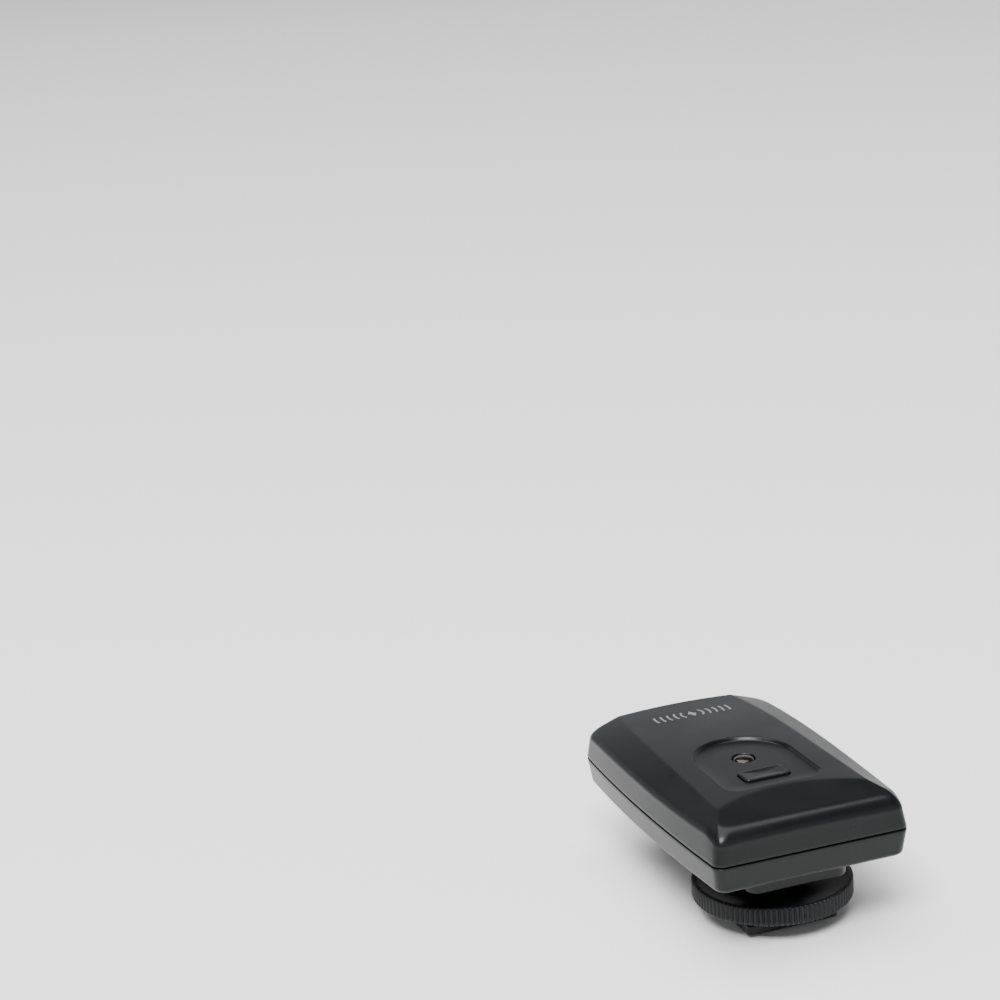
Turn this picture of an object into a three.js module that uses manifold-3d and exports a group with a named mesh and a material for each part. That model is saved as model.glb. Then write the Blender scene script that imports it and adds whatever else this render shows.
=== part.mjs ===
// A wireless flash trigger: the small transmitter that slides into a camera's hot shoe.
// Millimetres. Z is up, Y points to the front of the camera, X to the right as seen from behind.
// The origin is the centre of the underside of the hot-shoe plate.

import * as THREE from "three";
import { mergeVertices } from "three/addons/utils/BufferGeometryUtils.js";
import Module from "manifold-3d";

const wasm = await Module();
wasm.setup();

// ---------------------------------------------------------------- driving dimensions

const CLEARANCE = 0.3; // between a piece and the neighbour that it is cut for

// Casing in plan
const REAR_Y = -18.8; // rear wall at the parting line
const LENGTH = 62.8; // rear wall to the front corners
const REAR_HALF = 19.45; // half width at the rear corners
const FRONT_HALF = 20.1; // half width at the front corners
const SIDE_BOW = 1.2; // how far the long sides bulge outwards
const FRONT_BOW = 1.5; // how far the front bulges forwards
const REAR_RADIUS = 2; // rounding of the rear corners
const FRONT_RADIUS = 3; // rounding of the front corners

// Casing in height
const BOTTOM_Z = 14.2; // flat underside
const LOWER_HEIGHT = 5.5; // underside to parting line
const UPPER_HEIGHT = 7.8; // parting line to the highest point of the top
const SEAM = 0.3; // open line between the two shells
const WALL = 1.6;
const CEILING = 1.5; // thickness of the top
const DRAFT = 0.5; // how far each wall leans in from the parting line
const CROWN = 0.3; // fall of the top face at its side creases
const FRONT_FALL = 0.8; // fall of the top face from the middle to the front edge
const REAR_FALL = 1.5; // drop of the rear slope
const REAR_ARCH_MIDDLE = 13.3; // rear wall to the top of the rear slope on the centre line
const REAR_ARCH_SIDE = 8.5; // the same, at the side creases
const CREASE_REAR = 15.4; // half width of the top face at the rear
const CREASE_FRONT = 13.6; // the same towards the front
const CREASE_TUCK = 1.5; // how far the creases turn in at the front edge
const BEVEL_SLOPE_REAR = 0.42; // slope of the side bevels at the rear
const BEVEL_SLOPE_FRONT = 0.25; // slope of the side bevels at the front
const TONGUE = 0.7; // thickness of the lip that keeps light out of the seam
const TONGUE_HEIGHT = 0.8;

// Tombstone recess in the top, with the test button and the status light in it
const RECESS_HALF = 9.8;
const RECESS_REAR_Y = -4.4;
const RECESS_LENGTH = 24.4;
const RECESS_DEPTH = 0.7;
const BUTTON_WIDTH = 9.2;
const BUTTON_LENGTH = 4.4;
const BUTTON_RADIUS = 0.9;
const BUTTON_Y = 1.8;
const BUTTON_PROUD = 0.4;
const BUTTON_TRAVEL = 0.4;
const LED_Y = 10.8;
const LED_RADIUS = 2.1;
const LED_PROUD = 0.35;

// Plinth under the casing
const PLINTH_LENGTH = 25.2;
const PLINTH_HEIGHT = 4.4;
const PLINTH_RADIUS = 2.5;

// Hot-shoe foot, to the standard accessory shoe
const SHOE_WIDTH = 18.6;
const SHOE_LENGTH = 18;
const SHOE_THICKNESS = 2;
const STEM_RADIUS = 5.9;
const PIN_RADIUS = 1;
const PIN_FLANGE_RADIUS = 1.5;
const PIN_PROUD = 0.7;
const PIN_BORE_RADIUS = 1.9;
const FOOT_SCREW_X = 3.95;

// Locking ring, shown screwed down on the shoe's rails
const RING_RADIUS = 15.35;
const RING_BOTTOM_Z = 3.4;
const RING_HEIGHT = 3.6;
const RING_TEETH = 96;
const RING_TOOTH_DEPTH = 0.35;
const WASHER_RADIUS = 11.8;
const WASHER_THICKNESS = 0.8;
const WASHER_PROUD = 0.2;

// Cell bay and its door
const CELL_RADIUS = 5.05;
const CELL_LENGTH = 28.3;
const CELL_FROM_FRONT = 13; // middle of the cell to the front corners
const CELL_SHIFT_X = 1.2; // towards the positive contact
const CONTACT_THICKNESS = 0.4;
const CELL_SPRING_ROOM = 3.6; // from the negative plate to the cell
const DOOR_THICKNESS = 1;
const DOOR_HALF = 15.6;
const DOOR_DOVETAIL = 0.7;

// Circuit board and what stands on it
const BOARD_LIFT = 1.2; // underside of the board above the casing's floor
const BOARD_THICKNESS = 1.6;
const RIB_THICKNESS = 1.1; // of the two walls that part the cell from the rest
const SWITCH_Y = 9; // middle of the channel switch
const SWITCH_PITCH = 2.54;
const SWITCH_WAYS = 4;
const SWITCH_HEIGHT = 5.4;
const SWITCH_SETBACK = 1.65; // the switch's face inside the wall's inner side
const SWITCH_DEPTH = 5.6;
const SLIDER_SIZE = 1.4;
const SLIDER_TRAVEL = 1.5;
const SLIDERS_UP = [false, true, false, false];
const SOCKET_Y = -7.4;
const SOCKET_LENGTH = 10.5;
const SOCKET_SLEEVE_RADIUS = 2.5;
const SOCKET_BORE_RADIUS = 1.3;

// Fasteners
const POST_RADIUS = 2.8;
const POST_SETBACK = 0.6; // the post's surface inside the wall's inner side, at the rear
const SCREW_RADIUS = 1;
const SCREW_HEAD_RADIUS = 1.9;
const SCREW_HEAD_HEIGHT = 1.4;
const CASING_SCREW_LENGTH = 6.6;
const BOARD_SCREW_X = 8.6;
const FOOT_SCREW_RADIUS = 0.8;

// ---------------------------------------------------------------- worked out from those

const FRONT_Y = REAR_Y + LENGTH;
const MIDDLE_Y = (REAR_Y + FRONT_Y) / 2;
const PARTING_Z = BOTTOM_Z + LOWER_HEIGHT;
const TOP_Z = PARTING_Z + UPPER_HEIGHT;
const FLOOR_Z = BOTTOM_Z + WALL;
const BOARD_BOTTOM_Z = FLOOR_Z + BOARD_LIFT;
const RECESS_Z = TOP_Z - RECESS_DEPTH;
const CEILING_Z = TOP_Z - CEILING;
const BOARD_TOP_Z = BOARD_BOTTOM_Z + BOARD_THICKNESS;
const BOARD_HALF = REAR_HALF - WALL - DRAFT - CLEARANCE;
const BOARD_REAR_Y = REAR_Y + WALL + DRAFT + CLEARANCE;
const RETAINER_HALF = STEM_RADIUS + CLEARANCE + 1.4;
const PLINTH_HALF = RETAINER_HALF + 1 + WALL;
const PLINTH_Z = BOTTOM_Z - PLINTH_HEIGHT;
const PLINTH_FLOOR_Z = PLINTH_Z + WALL;
const PLATE_Z = PLINTH_FLOOR_Z + 0.1;
const PLATE_THICKNESS = 1.2;
const PLATE_TOP_Z = PLATE_Z + PLATE_THICKNESS;
const DOOR_TOP_Z = BOTTOM_Z + DOOR_THICKNESS;
const CELL_Y = FRONT_Y - CELL_FROM_FRONT;
const DOOR_REAR_Y = CELL_Y - CELL_RADIUS - 0.85;
const REAR_RIB_Y = DOOR_REAR_Y - 0.3 - RIB_THICKNESS;
const FRONT_RIB_Y = CELL_Y + CELL_RADIUS + 0.8;
const BOARD_FRONT_Y = REAR_RIB_Y - 0.7;
const CELL_Z = DOOR_TOP_Z + 0.2 + CELL_RADIUS;
const RIB_TOP_Z = CELL_Z + CELL_RADIUS - 2.7;
const CELL_LEFT_X = CELL_SHIFT_X - CELL_LENGTH / 2;
const CELL_RIGHT_X = CELL_SHIFT_X + CELL_LENGTH / 2;
const POSITIVE_X = CELL_RIGHT_X + CLEARANCE;
const NEGATIVE_X = CELL_LEFT_X - CELL_SPRING_ROOM;
const CONTACT_HALF = CELL_RADIUS - 0.85;
const REAR_POST_X = REAR_HALF - WALL - POST_RADIUS - POST_SETBACK + 0.4;
const REAR_POST_Y = REAR_Y + WALL + POST_RADIUS + POST_SETBACK;
const FRONT_POST_Y = BOARD_FRONT_Y - POST_RADIUS - 1.4;
const FRONT_POST_X = halfWidth(FRONT_POST_Y) - WALL - POST_RADIUS - POST_SETBACK;
const CASING_POSTS = [
  [-REAR_POST_X, REAR_POST_Y],
  [REAR_POST_X, REAR_POST_Y],
  [-FRONT_POST_X, FRONT_POST_Y],
  [FRONT_POST_X, FRONT_POST_Y],
];
const BOARD_SCREWS = [[-BOARD_SCREW_X, REAR_POST_Y], [BOARD_SCREW_X, FRONT_POST_Y + 1]];
const SWITCH_OUTER_X = halfWidth(SWITCH_Y) - WALL - SWITCH_SETBACK;
const SWITCH_LENGTH = SWITCH_PITCH * SWITCH_WAYS + 1.5;
const SWITCH_MIDDLE_Z = BOARD_TOP_Z + SWITCH_HEIGHT / 2 + 0.6;
const SOCKET_HEIGHT = 2 * SOCKET_SLEEVE_RADIUS;
const SOCKET_Z = BOARD_TOP_Z + SOCKET_SLEEVE_RADIUS;
const SOCKET_FACE_X = REAR_HALF - WALL - 0.4;

// How far along the casing a place lies, 0 at the rear and 1 at the front.
function alongCasing(y) {
  return (y - REAR_Y) / LENGTH;
}

// Half the casing's width at the parting line, at a place along it.
function halfWidth(y) {
  const t = alongCasing(y);
  return REAR_HALF + (FRONT_HALF - REAR_HALF) * t + SIDE_BOW * 4 * t * (1 - t);
}

// ---------------------------------------------------------------- solids

// A closed three.js geometry as a solid that can be joined and cut.
function solidFrom(geometry) {
  const bare = geometry.clone();
  bare.deleteAttribute("normal");
  bare.deleteAttribute("uv");
  const merged = mergeVertices(bare, 1e-4);
  const vertProperties = new Float32Array(merged.attributes.position.array);
  const triVerts = new Uint32Array(merged.index.array);
  return new wasm.Manifold(new wasm.Mesh({ numProp: 3, vertProperties, triVerts }));
}

// A solid's surface as a three.js geometry.
function geometryFrom(solid) {
  const mesh = solid.getMesh();
  const geometry = new THREE.BufferGeometry();
  geometry.setAttribute("position", new THREE.BufferAttribute(mesh.vertProperties, 3));
  geometry.setIndex(new THREE.BufferAttribute(mesh.triVerts, 1));
  const flat = geometry.toNonIndexed();
  flat.computeVertexNormals();
  return flat;
}

function joined(...solids) {
  return solids.reduce((whole, piece) => whole.add(piece));
}

function cut(solid, ...tools) {
  return tools.reduce((left, tool) => left.subtract(tool), solid);
}

function block(x0, x1, y0, y1, z0, z1) {
  const box = new THREE.BoxGeometry(x1 - x0, y1 - y0, z1 - z0);
  return solidFrom(box.translate((x0 + x1) / 2, (y0 + y1) / 2, (z0 + z1) / 2));
}

// An upright cylinder.
function rod(x, y, z0, z1, radius, sides = 24) {
  const cylinder = new THREE.CylinderGeometry(radius, radius, z1 - z0, sides);
  return solidFrom(cylinder.rotateX(Math.PI / 2).translate(x, y, (z0 + z1) / 2));
}

// A cylinder that lies along X.
function rodAlongX(x0, x1, y, z, radius, sides = 24) {
  const cylinder = new THREE.CylinderGeometry(radius, radius, x1 - x0, sides);
  return solidFrom(cylinder.rotateZ(-Math.PI / 2).translate((x0 + x1) / 2, y, z));
}

// A solid of revolution about an upright axis, from [radius, height] points, anticlockwise.
function turned(profile, sides = 20) {
  const points = profile.map(([radius, height]) => new THREE.Vector2(radius, height));
  points.push(points[0].clone());
  return solidFrom(new THREE.LatheGeometry(points, sides).rotateX(Math.PI / 2));
}

function prism(shape, z0, z1, curveSegments = 3) {
  const depth = z1 - z0;
  const extruded = new THREE.ExtrudeGeometry(shape, { depth, bevelEnabled: false, curveSegments });
  return solidFrom(extruded.translate(0, 0, z0));
}

function roundedRectangle(x0, x1, y0, y1, radius) {
  const shape = new THREE.Shape();
  shape.moveTo(x0 + radius, y0);
  shape.lineTo(x1 - radius, y0);
  shape.absarc(x1 - radius, y0 + radius, radius, -Math.PI / 2, 0);
  shape.lineTo(x1, y1 - radius);
  shape.absarc(x1 - radius, y1 - radius, radius, 0, Math.PI / 2);
  shape.lineTo(x0 + radius, y1);
  shape.absarc(x0 + radius, y1 - radius, radius, Math.PI / 2, Math.PI);
  shape.lineTo(x0, y0 + radius);
  shape.absarc(x0 + radius, y0 + radius, radius, Math.PI, 1.5 * Math.PI);
  return shape;
}

// A round wire of the given radius along a smooth curve.
function wire(curve, radius, steps, sides = 8) {
  const section = new THREE.Shape();
  section.absarc(0, 0, radius, 0, 2 * Math.PI);
  const settings = { steps, extrudePath: curve, curveSegments: sides };
  return solidFrom(new THREE.ExtrudeGeometry(section, settings));
}

function curveThrough(...points) {
  return new THREE.CatmullRomCurve3(points.map((point) => new THREE.Vector3(...point)));
}

class Helix extends THREE.Curve {
  constructor(radius, turns, length) {
    super();
    this.radius = radius;
    this.turns = turns;
    this.length = length;
  }

  getPoint(t, target = new THREE.Vector3()) {
    const angle = 2 * Math.PI * this.turns * t;
    return target.set(this.radius * Math.cos(angle), this.radius * Math.sin(angle), this.length * t);
  }
}

// ---------------------------------------------------------------- the casing's form

// A four-sided outline with bulging sides and rounded corners, anticlockwise from the rear left.
// Every outline has the same number of points, so that outlines can be stacked.
function bowedOutline({ rearHalf, frontHalf, rearY, frontY, sideBow, rearBow, frontBow, radii }) {
  const bow = (t) => 4 * t * (1 - t);
  const sides = [
    (t) => [rearHalf * (2 * t - 1), rearY + rearBow * bow(t)],
    (t) => [rearHalf + (frontHalf - rearHalf) * t + sideBow * bow(t), rearY + (frontY - rearY) * t],
    (t) => [frontHalf * (1 - 2 * t), frontY + frontBow * bow(t)],
    (t) => [-frontHalf - (rearHalf - frontHalf) * t - sideBow * bow(t), frontY + (rearY - frontY) * t],
  ];
  const spans = [2 * rearHalf, frontY - rearY, 2 * frontHalf, frontY - rearY];
  const steps = [6, 8, 6, 8];
  const cornerSteps = 3;
  const outline = [];
  sides.forEach((side, i) => {
    const next = (i + 1) % 4;
    const first = radii[i] / spans[i];
    const last = 1 - radii[next] / spans[i];
    for (let step = 0; step <= steps[i]; step++) {
      outline.push(side(first + ((last - first) * step) / steps[i]));
    }
    const [ax, ay] = side(last);
    const [cx, cy] = side(1);
    const [bx, by] = sides[next](radii[next] / spans[next]);
    for (let step = 1; step < cornerSteps; step++) {
      const s = step / cornerSteps;
      const [a, c, b] = [(1 - s) ** 2, 2 * s * (1 - s), s * s];
      outline.push([a * ax + c * cx + b * bx, a * ay + c * cy + b * by]);
    }
  });
  return outline;
}

// The casing's outline at the parting line, drawn in by the given distance.
function casingOutline(inset = 0) {
  return bowedOutline({
    rearHalf: REAR_HALF - inset,
    frontHalf: FRONT_HALF - inset,
    rearY: REAR_Y + inset,
    frontY: FRONT_Y - inset,
    sideBow: SIDE_BOW,
    rearBow: 0,
    frontBow: FRONT_BOW,
    radii: [REAR_RADIUS, REAR_RADIUS, FRONT_RADIUS, FRONT_RADIUS],
  });
}

// Where the top face ends and the rear slope starts, as an arch across the casing.
function rearArchY(x) {
  const across = x / CREASE_REAR;
  return REAR_Y + REAR_ARCH_MIDDLE - (REAR_ARCH_MIDDLE - REAR_ARCH_SIDE) * across * across;
}

// The roof's height over a place in plan: a crowned face that the side bevels and the rear slope cut.
function roofZ(x, y) {
  const along = alongCasing(y);
  const across = x / CREASE_REAR;
  const fall = Math.max(0, (y - MIDDLE_Y) / (FRONT_Y - MIDDLE_Y)) ** 2;
  const face = TOP_Z - CROWN * across * across - FRONT_FALL * fall;
  const crease = THREE.MathUtils.lerp(CREASE_REAR, CREASE_FRONT, along) - CREASE_TUCK * along ** 8;
  const slope = THREE.MathUtils.lerp(BEVEL_SLOPE_REAR, BEVEL_SLOPE_FRONT, along);
  const sideDrop = slope * Math.max(0, Math.abs(x) - crease);
  const archY = rearArchY(x);
  const rearDrop = (REAR_FALL * Math.max(0, archY - y)) / (archY - REAR_Y);
  return face - Math.max(sideDrop, rearDrop);
}

// A solid through a stack of outlines with equal numbers of [x, y, z] points, closed at both ends.
function stacked(rings) {
  const count = rings[0].length;
  const positions = rings.flat(2);
  const index = [];
  for (let ring = 0; ring + 1 < rings.length; ring++) {
    for (let i = 0; i < count; i++) {
      const a = ring * count + i;
      const b = ring * count + ((i + 1) % count);
      index.push(a, b, b + count, a, b + count, a + count);
    }
  }
  const capAround = (ring, centre, upwards) => {
    const hub = positions.length / 3;
    positions.push(...centre);
    for (let i = 0; i < count; i++) {
      const a = ring * count + i;
      const b = ring * count + ((i + 1) % count);
      index.push(hub, upwards ? a : b, upwards ? b : a);
    }
  };
  const last = rings.length - 1;
  capAround(0, [0, MIDDLE_Y, rings[0][0][2]], false);
  capAround(last, [0, MIDDLE_Y, Math.max(...rings[last].map((point) => point[2]))], true);
  const geometry = new THREE.BufferGeometry();
  geometry.setAttribute("position", new THREE.Float32BufferAttribute(positions, 3));
  geometry.setIndex(index);
  return solidFrom(geometry);
}

const level = (outline, z) => outline.map(([x, y]) => [x, y, z]);
const onRoof = (outline, lower) => outline.map(([x, y]) => [x, y, roofZ(x, y) - lower]);

// The top face's outline, and the same outline drawn in around the middle.
function faceOutline(share = 1) {
  const outline = bowedOutline({
    rearHalf: CREASE_REAR,
    frontHalf: CREASE_FRONT - CREASE_TUCK / 2,
    rearY: REAR_Y + REAR_ARCH_SIDE,
    frontY: FRONT_Y - 2.4,
    sideBow: 0,
    rearBow: REAR_ARCH_MIDDLE - REAR_ARCH_SIDE,
    frontBow: FRONT_BOW,
    radii: [1, 1, 2, 2],
  });
  return outline.map(([x, y]) => [x * share, MIDDLE_Y + (y - MIDDLE_Y) * share]);
}

// The outer form of the upper casing from a height upwards, or its hollow when drawn in.
function upperForm(fromZ, inset, lower) {
  return stacked([
    level(casingOutline(inset), fromZ),
    onRoof(casingOutline(inset + DRAFT), lower + 1.8),
    onRoof(casingOutline(inset + DRAFT + 0.35), lower + 0.75),
    onRoof(casingOutline(inset + DRAFT + 1.6), lower),
    onRoof(faceOutline(), lower),
    onRoof(faceOutline(0.4), lower),
  ]);
}

// The hollow under the roof, with plainer edges.
function upperHollow(fromZ) {
  return stacked([
    level(casingOutline(WALL), fromZ),
    onRoof(casingOutline(WALL + DRAFT), CEILING + 1.2),
    onRoof(casingOutline(WALL + DRAFT + 1.2), CEILING),
    onRoof(faceOutline(), CEILING),
  ]);
}

// The outer form of the lower casing, which narrows downwards to a rounded bottom edge.
function lowerForm() {
  return stacked([
    level(casingOutline(DRAFT + 0.9), BOTTOM_Z),
    level(casingOutline(DRAFT + 0.25), BOTTOM_Z + 0.4),
    level(casingOutline(DRAFT - 0.05), BOTTOM_Z + 1.1),
    level(casingOutline(), PARTING_Z - SEAM / 2),
  ]);
}

// The recess: straight across the rear, with rounded rear corners and a round front.
function recessForm() {
  const shape = new THREE.Shape();
  const radius = 3;
  const frontCentreY = RECESS_REAR_Y + RECESS_LENGTH - RECESS_HALF;
  shape.moveTo(-RECESS_HALF + radius, RECESS_REAR_Y);
  shape.lineTo(RECESS_HALF - radius, RECESS_REAR_Y);
  shape.absarc(RECESS_HALF - radius, RECESS_REAR_Y + radius, radius, -Math.PI / 2, 0);
  shape.lineTo(RECESS_HALF, frontCentreY);
  shape.absarc(0, frontCentreY, RECESS_HALF, 0, Math.PI);
  shape.lineTo(-RECESS_HALF, RECESS_REAR_Y + radius);
  shape.absarc(-RECESS_HALF + radius, RECESS_REAR_Y + radius, radius, Math.PI, 1.5 * Math.PI);
  return prism(shape, RECESS_Z, TOP_Z + 1, 8);
}

// ---------------------------------------------------------------- the sub-parts

const part = new THREE.Group();

function add(name, solid, colour, roughness, metalness = 0) {
  const material = new THREE.MeshStandardMaterial({ color: colour, roughness, metalness });
  const mesh = new THREE.Mesh(geometryFrom(solid), material);
  mesh.name = name;
  part.add(mesh);
  return mesh;
}

const BLACK_ABS = 0x2b2f30;
const BLACK_NYLON = 0x17191b;
const BRASS = 0xb08d4a;
const STEEL = 0xa9adb2;
const BOARD_GREEN = 0x1d5a3a;
const CHIP_BLACK = 0x1b1b1d;

function buttonOutline(grow) {
  const x = BUTTON_WIDTH / 2 + grow;
  const y = BUTTON_LENGTH / 2 + grow;
  return roundedRectangle(-x, x, BUTTON_Y - y, BUTTON_Y + y, BUTTON_RADIUS + grow);
}

// The sync socket's hole, which both shells share.
function socketHole() {
  return rodAlongX(REAR_HALF - 4, REAR_HALF + 5, SOCKET_Y, SOCKET_Z, SOCKET_SLEEVE_RADIUS + CLEARANCE);
}

// Screw posts hang from the roof, so each is cut off by the roof's own inner form.
function topShell() {
  const rimZ = PARTING_Z + SEAM / 2;
  const outer = upperForm(rimZ, 0, 0);
  const hollow = upperHollow(rimZ - 1);
  const posts = CASING_POSTS.map(([x, y]) => rod(x, y, PARTING_Z - 1.2, TOP_Z, POST_RADIUS - 0.3, 16));
  const roofed = stacked([
    level(casingOutline(WALL / 2), PARTING_Z - 3),
    onRoof(casingOutline(WALL / 2 + DRAFT + 1.2), CEILING / 2),
  ]);
  const postsInside = joined(...posts).intersect(roofed);
  const rebateZ = PARTING_Z - SEAM / 2 + TONGUE_HEIGHT + CLEARANCE;
  const rebateInset = WALL - TONGUE - CLEARANCE / 2;
  const rebate = stacked([
    level(casingOutline(rebateInset), rimZ - 1),
    level(casingOutline(rebateInset), rebateZ),
  ]);
  const pilots = CASING_POSTS.map(([x, y]) => {
    return rod(x, y, PARTING_Z - 2, PARTING_Z + CASING_SCREW_LENGTH - 2, SCREW_RADIUS + CLEARANCE, 12);
  });
  const windowHalf = SWITCH_LENGTH / 2 - 0.5;
  const windowHigh = SLIDER_TRAVEL + SLIDER_SIZE + 0.6;
  const window = block(
    SWITCH_OUTER_X - 1.5,
    FRONT_HALF + SIDE_BOW + 5,
    SWITCH_Y - windowHalf,
    SWITCH_Y + windowHalf,
    SWITCH_MIDDLE_Z - windowHigh / 2,
    SWITCH_MIDDLE_Z + windowHigh / 2,
  );
  const shell = cut(
    outer,
    hollow,
    rebate,
    recessForm(),
    prism(buttonOutline(CLEARANCE - 0.05), CEILING_Z - 2, TOP_Z + 1),
    rod(0, LED_Y, CEILING_Z - 2, TOP_Z + 1, LED_RADIUS + 0.2),
    socketHole(),
    window,
    rodAlongX(CELL_LEFT_X - 0.5, CELL_RIGHT_X + 0.5, CELL_Y, CELL_Z, CELL_RADIUS + CLEARANCE, 28),
  );
  return cut(joined(shell, postsInside), ...pilots);
}

function plinthForm(inset, z0, z1) {
  const shape = roundedRectangle(
    -PLINTH_HALF + inset,
    PLINTH_HALF - inset,
    -PLINTH_LENGTH / 2 + inset,
    PLINTH_LENGTH / 2 - inset,
    PLINTH_RADIUS - inset / 2,
  );
  return prism(shape, z0, z1);
}

// The dovetail that the door slides in, seen along Y and run out through the front.
function dovetail(grow, y0) {
  const shape = new THREE.Shape();
  const bottom = DOOR_HALF + grow;
  const top = DOOR_HALF + DOOR_DOVETAIL + grow;
  shape.moveTo(-bottom, BOTTOM_Z - 1);
  shape.lineTo(bottom, BOTTOM_Z - 1);
  shape.lineTo(bottom, BOTTOM_Z);
  shape.lineTo(top, DOOR_TOP_Z + grow / 2);
  shape.lineTo(-top, DOOR_TOP_Z + grow / 2);
  shape.lineTo(-bottom, BOTTOM_Z);
  const depth = FRONT_Y + FRONT_BOW + 5 - y0;
  const extruded = new THREE.ExtrudeGeometry(shape, { depth, bevelEnabled: false });
  return solidFrom(extruded.rotateX(Math.PI / 2).translate(0, y0 + depth, 0));
}

function bottomShell() {
  const hollowTop = PARTING_Z + 5;
  const hollow = stacked([
    level(casingOutline(WALL + DRAFT), FLOOR_Z),
    level(casingOutline(WALL), PARTING_Z - SEAM / 2),
    level(casingOutline(WALL), hollowTop),
  ]);
  const tongue = stacked([
    level(casingOutline(WALL - TONGUE), PARTING_Z - SEAM / 2 - 0.5),
    level(casingOutline(WALL - TONGUE), PARTING_Z - SEAM / 2 + TONGUE_HEIGHT),
  ]);
  const ribHalf = BOARD_HALF - 0.1;
  const ribs = [
    block(-ribHalf, ribHalf, REAR_RIB_Y, REAR_RIB_Y + RIB_THICKNESS, BOTTOM_Z + 0.5, RIB_TOP_Z),
    block(-ribHalf, ribHalf, FRONT_RIB_Y, FRONT_RIB_Y + RIB_THICKNESS, DOOR_TOP_Z + 0.4, RIB_TOP_Z),
  ];
  const footZ = BOTTOM_Z + 0.5;
  const posts = CASING_POSTS.map(([x, y]) => rod(x, y, footZ, PARTING_Z - 1.5, POST_RADIUS, 16));
  const boardPosts = BOARD_SCREWS.map(([x, y]) => rod(x, y, footZ, BOARD_BOTTOM_Z, 2.3, 16));
  const screwHoles = CASING_POSTS.flatMap(([x, y]) => [
    rod(x, y, BOTTOM_Z - 1, BOTTOM_Z + 0.6 + SCREW_HEAD_HEIGHT + 0.1, SCREW_HEAD_RADIUS + CLEARANCE, 16),
    rod(x, y, BOTTOM_Z, PARTING_Z, SCREW_RADIUS + CLEARANCE, 12),
  ]);
  const boardPilots = BOARD_SCREWS.map(([x, y]) => {
    return rod(x, y, BOTTOM_Z + 0.8, BOARD_BOTTOM_Z + 1, SCREW_RADIUS + CLEARANCE, 12);
  });
  const cellMouth = block(
    NEGATIVE_X - 0.6,
    POSITIVE_X + CONTACT_THICKNESS + 0.3,
    CELL_Y - CELL_RADIUS - 0.4,
    CELL_Y + CELL_RADIUS + 0.4,
    DOOR_TOP_Z,
    FLOOR_Z + 1,
  );
  const casing = joined(lowerForm(), tongue, plinthForm(0, PLINTH_Z, BOTTOM_Z + 0.5));
  const emptied = cut(casing, hollow, plinthForm(WALL, PLINTH_FLOOR_Z, FLOOR_Z + 1));
  return cut(
    joined(emptied, ...ribs, ...posts, ...boardPosts),
    ...screwHoles,
    ...boardPilots,
    dovetail(CLEARANCE, DOOR_REAR_Y - CLEARANCE),
    cellMouth,
    socketHole(),
    rod(0, 0, PLINTH_Z - 1, PLINTH_FLOOR_Z + 1, STEM_RADIUS + CLEARANCE, 32),
  );
}

function batteryDoor() {
  const grooves = [0, 1, 2].map((row) => {
    const y = DOOR_REAR_Y + 3 + 1.4 * row;
    return block(-5, 5, y, y + 0.6, BOTTOM_Z - 1, BOTTOM_Z + 0.35);
  });
  return cut(lowerForm().intersect(dovetail(0, DOOR_REAR_Y)), ...grooves);
}

add("top_shell", topShell(), BLACK_ABS, 0.5);
add("bottom_shell", bottomShell(), BLACK_ABS, 0.5);
add("battery_door", batteryDoor(), BLACK_ABS, 0.5);

// The button's cap fills the hole in the recess, its flange stops it under the roof.
function testButton() {
  const flangeTop = CEILING_Z - CLEARANCE;
  const cap = prism(buttonOutline(0), flangeTop - 0.1, RECESS_Z + BUTTON_PROUD);
  const flange = prism(buttonOutline(0.9), flangeTop - 0.8, flangeTop);
  const stem = rod(0, BUTTON_Y, TACT_TOP_Z + CLEARANCE, flangeTop - 0.5, 1.4, 24);
  return joined(cap, flange, stem);
}

const TACT_BODY_HEIGHT = 3.4;
const TACT_TOP_Z = BOARD_TOP_Z + TACT_BODY_HEIGHT + 0.8;
const PLUNGER_RADIUS = 1.7;
const tactBore = rod(0, BUTTON_Y, BOARD_TOP_Z + 1.4, TACT_TOP_Z, PLUNGER_RADIUS + CLEARANCE, 24);
const tactBody = block(-3, 3, BUTTON_Y - 3, BUTTON_Y + 3, BOARD_TOP_Z, BOARD_TOP_Z + TACT_BODY_HEIGHT);
add("test_button", testButton(), BLACK_NYLON, 0.35);
add("tact_switch_body", cut(tactBody, tactBore), CHIP_BLACK, 0.5);
const plungerBottom = BOARD_TOP_Z + 1.4 + BUTTON_TRAVEL + CLEARANCE;
const tactPlunger = rod(0, BUTTON_Y, plungerBottom, TACT_TOP_Z, PLUNGER_RADIUS, 24);
add("tact_switch_plunger", tactPlunger, 0x6f7276, 0.4);

// A moulded lamp with a flange on the board and a low dome that fills the hole.
function statusLamp() {
  const top = RECESS_Z + LED_PROUD;
  const profile = [
    [0, BOARD_TOP_Z],
    [LED_RADIUS + 0.4, BOARD_TOP_Z],
    [LED_RADIUS + 0.4, BOARD_TOP_Z + 1],
    [LED_RADIUS, BOARD_TOP_Z + 1],
    [LED_RADIUS, top - 0.75],
    [LED_RADIUS * 0.9, top - 0.4],
    [LED_RADIUS * 0.6, top - 0.12],
    [0, top],
  ];
  return turned(profile, 24).translate([0, LED_Y, 0]);
}

add("status_lamp", statusLamp(), 0x5b4a4e, 0.1);

// ---------------------------------------------------------------- circuit board

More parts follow.
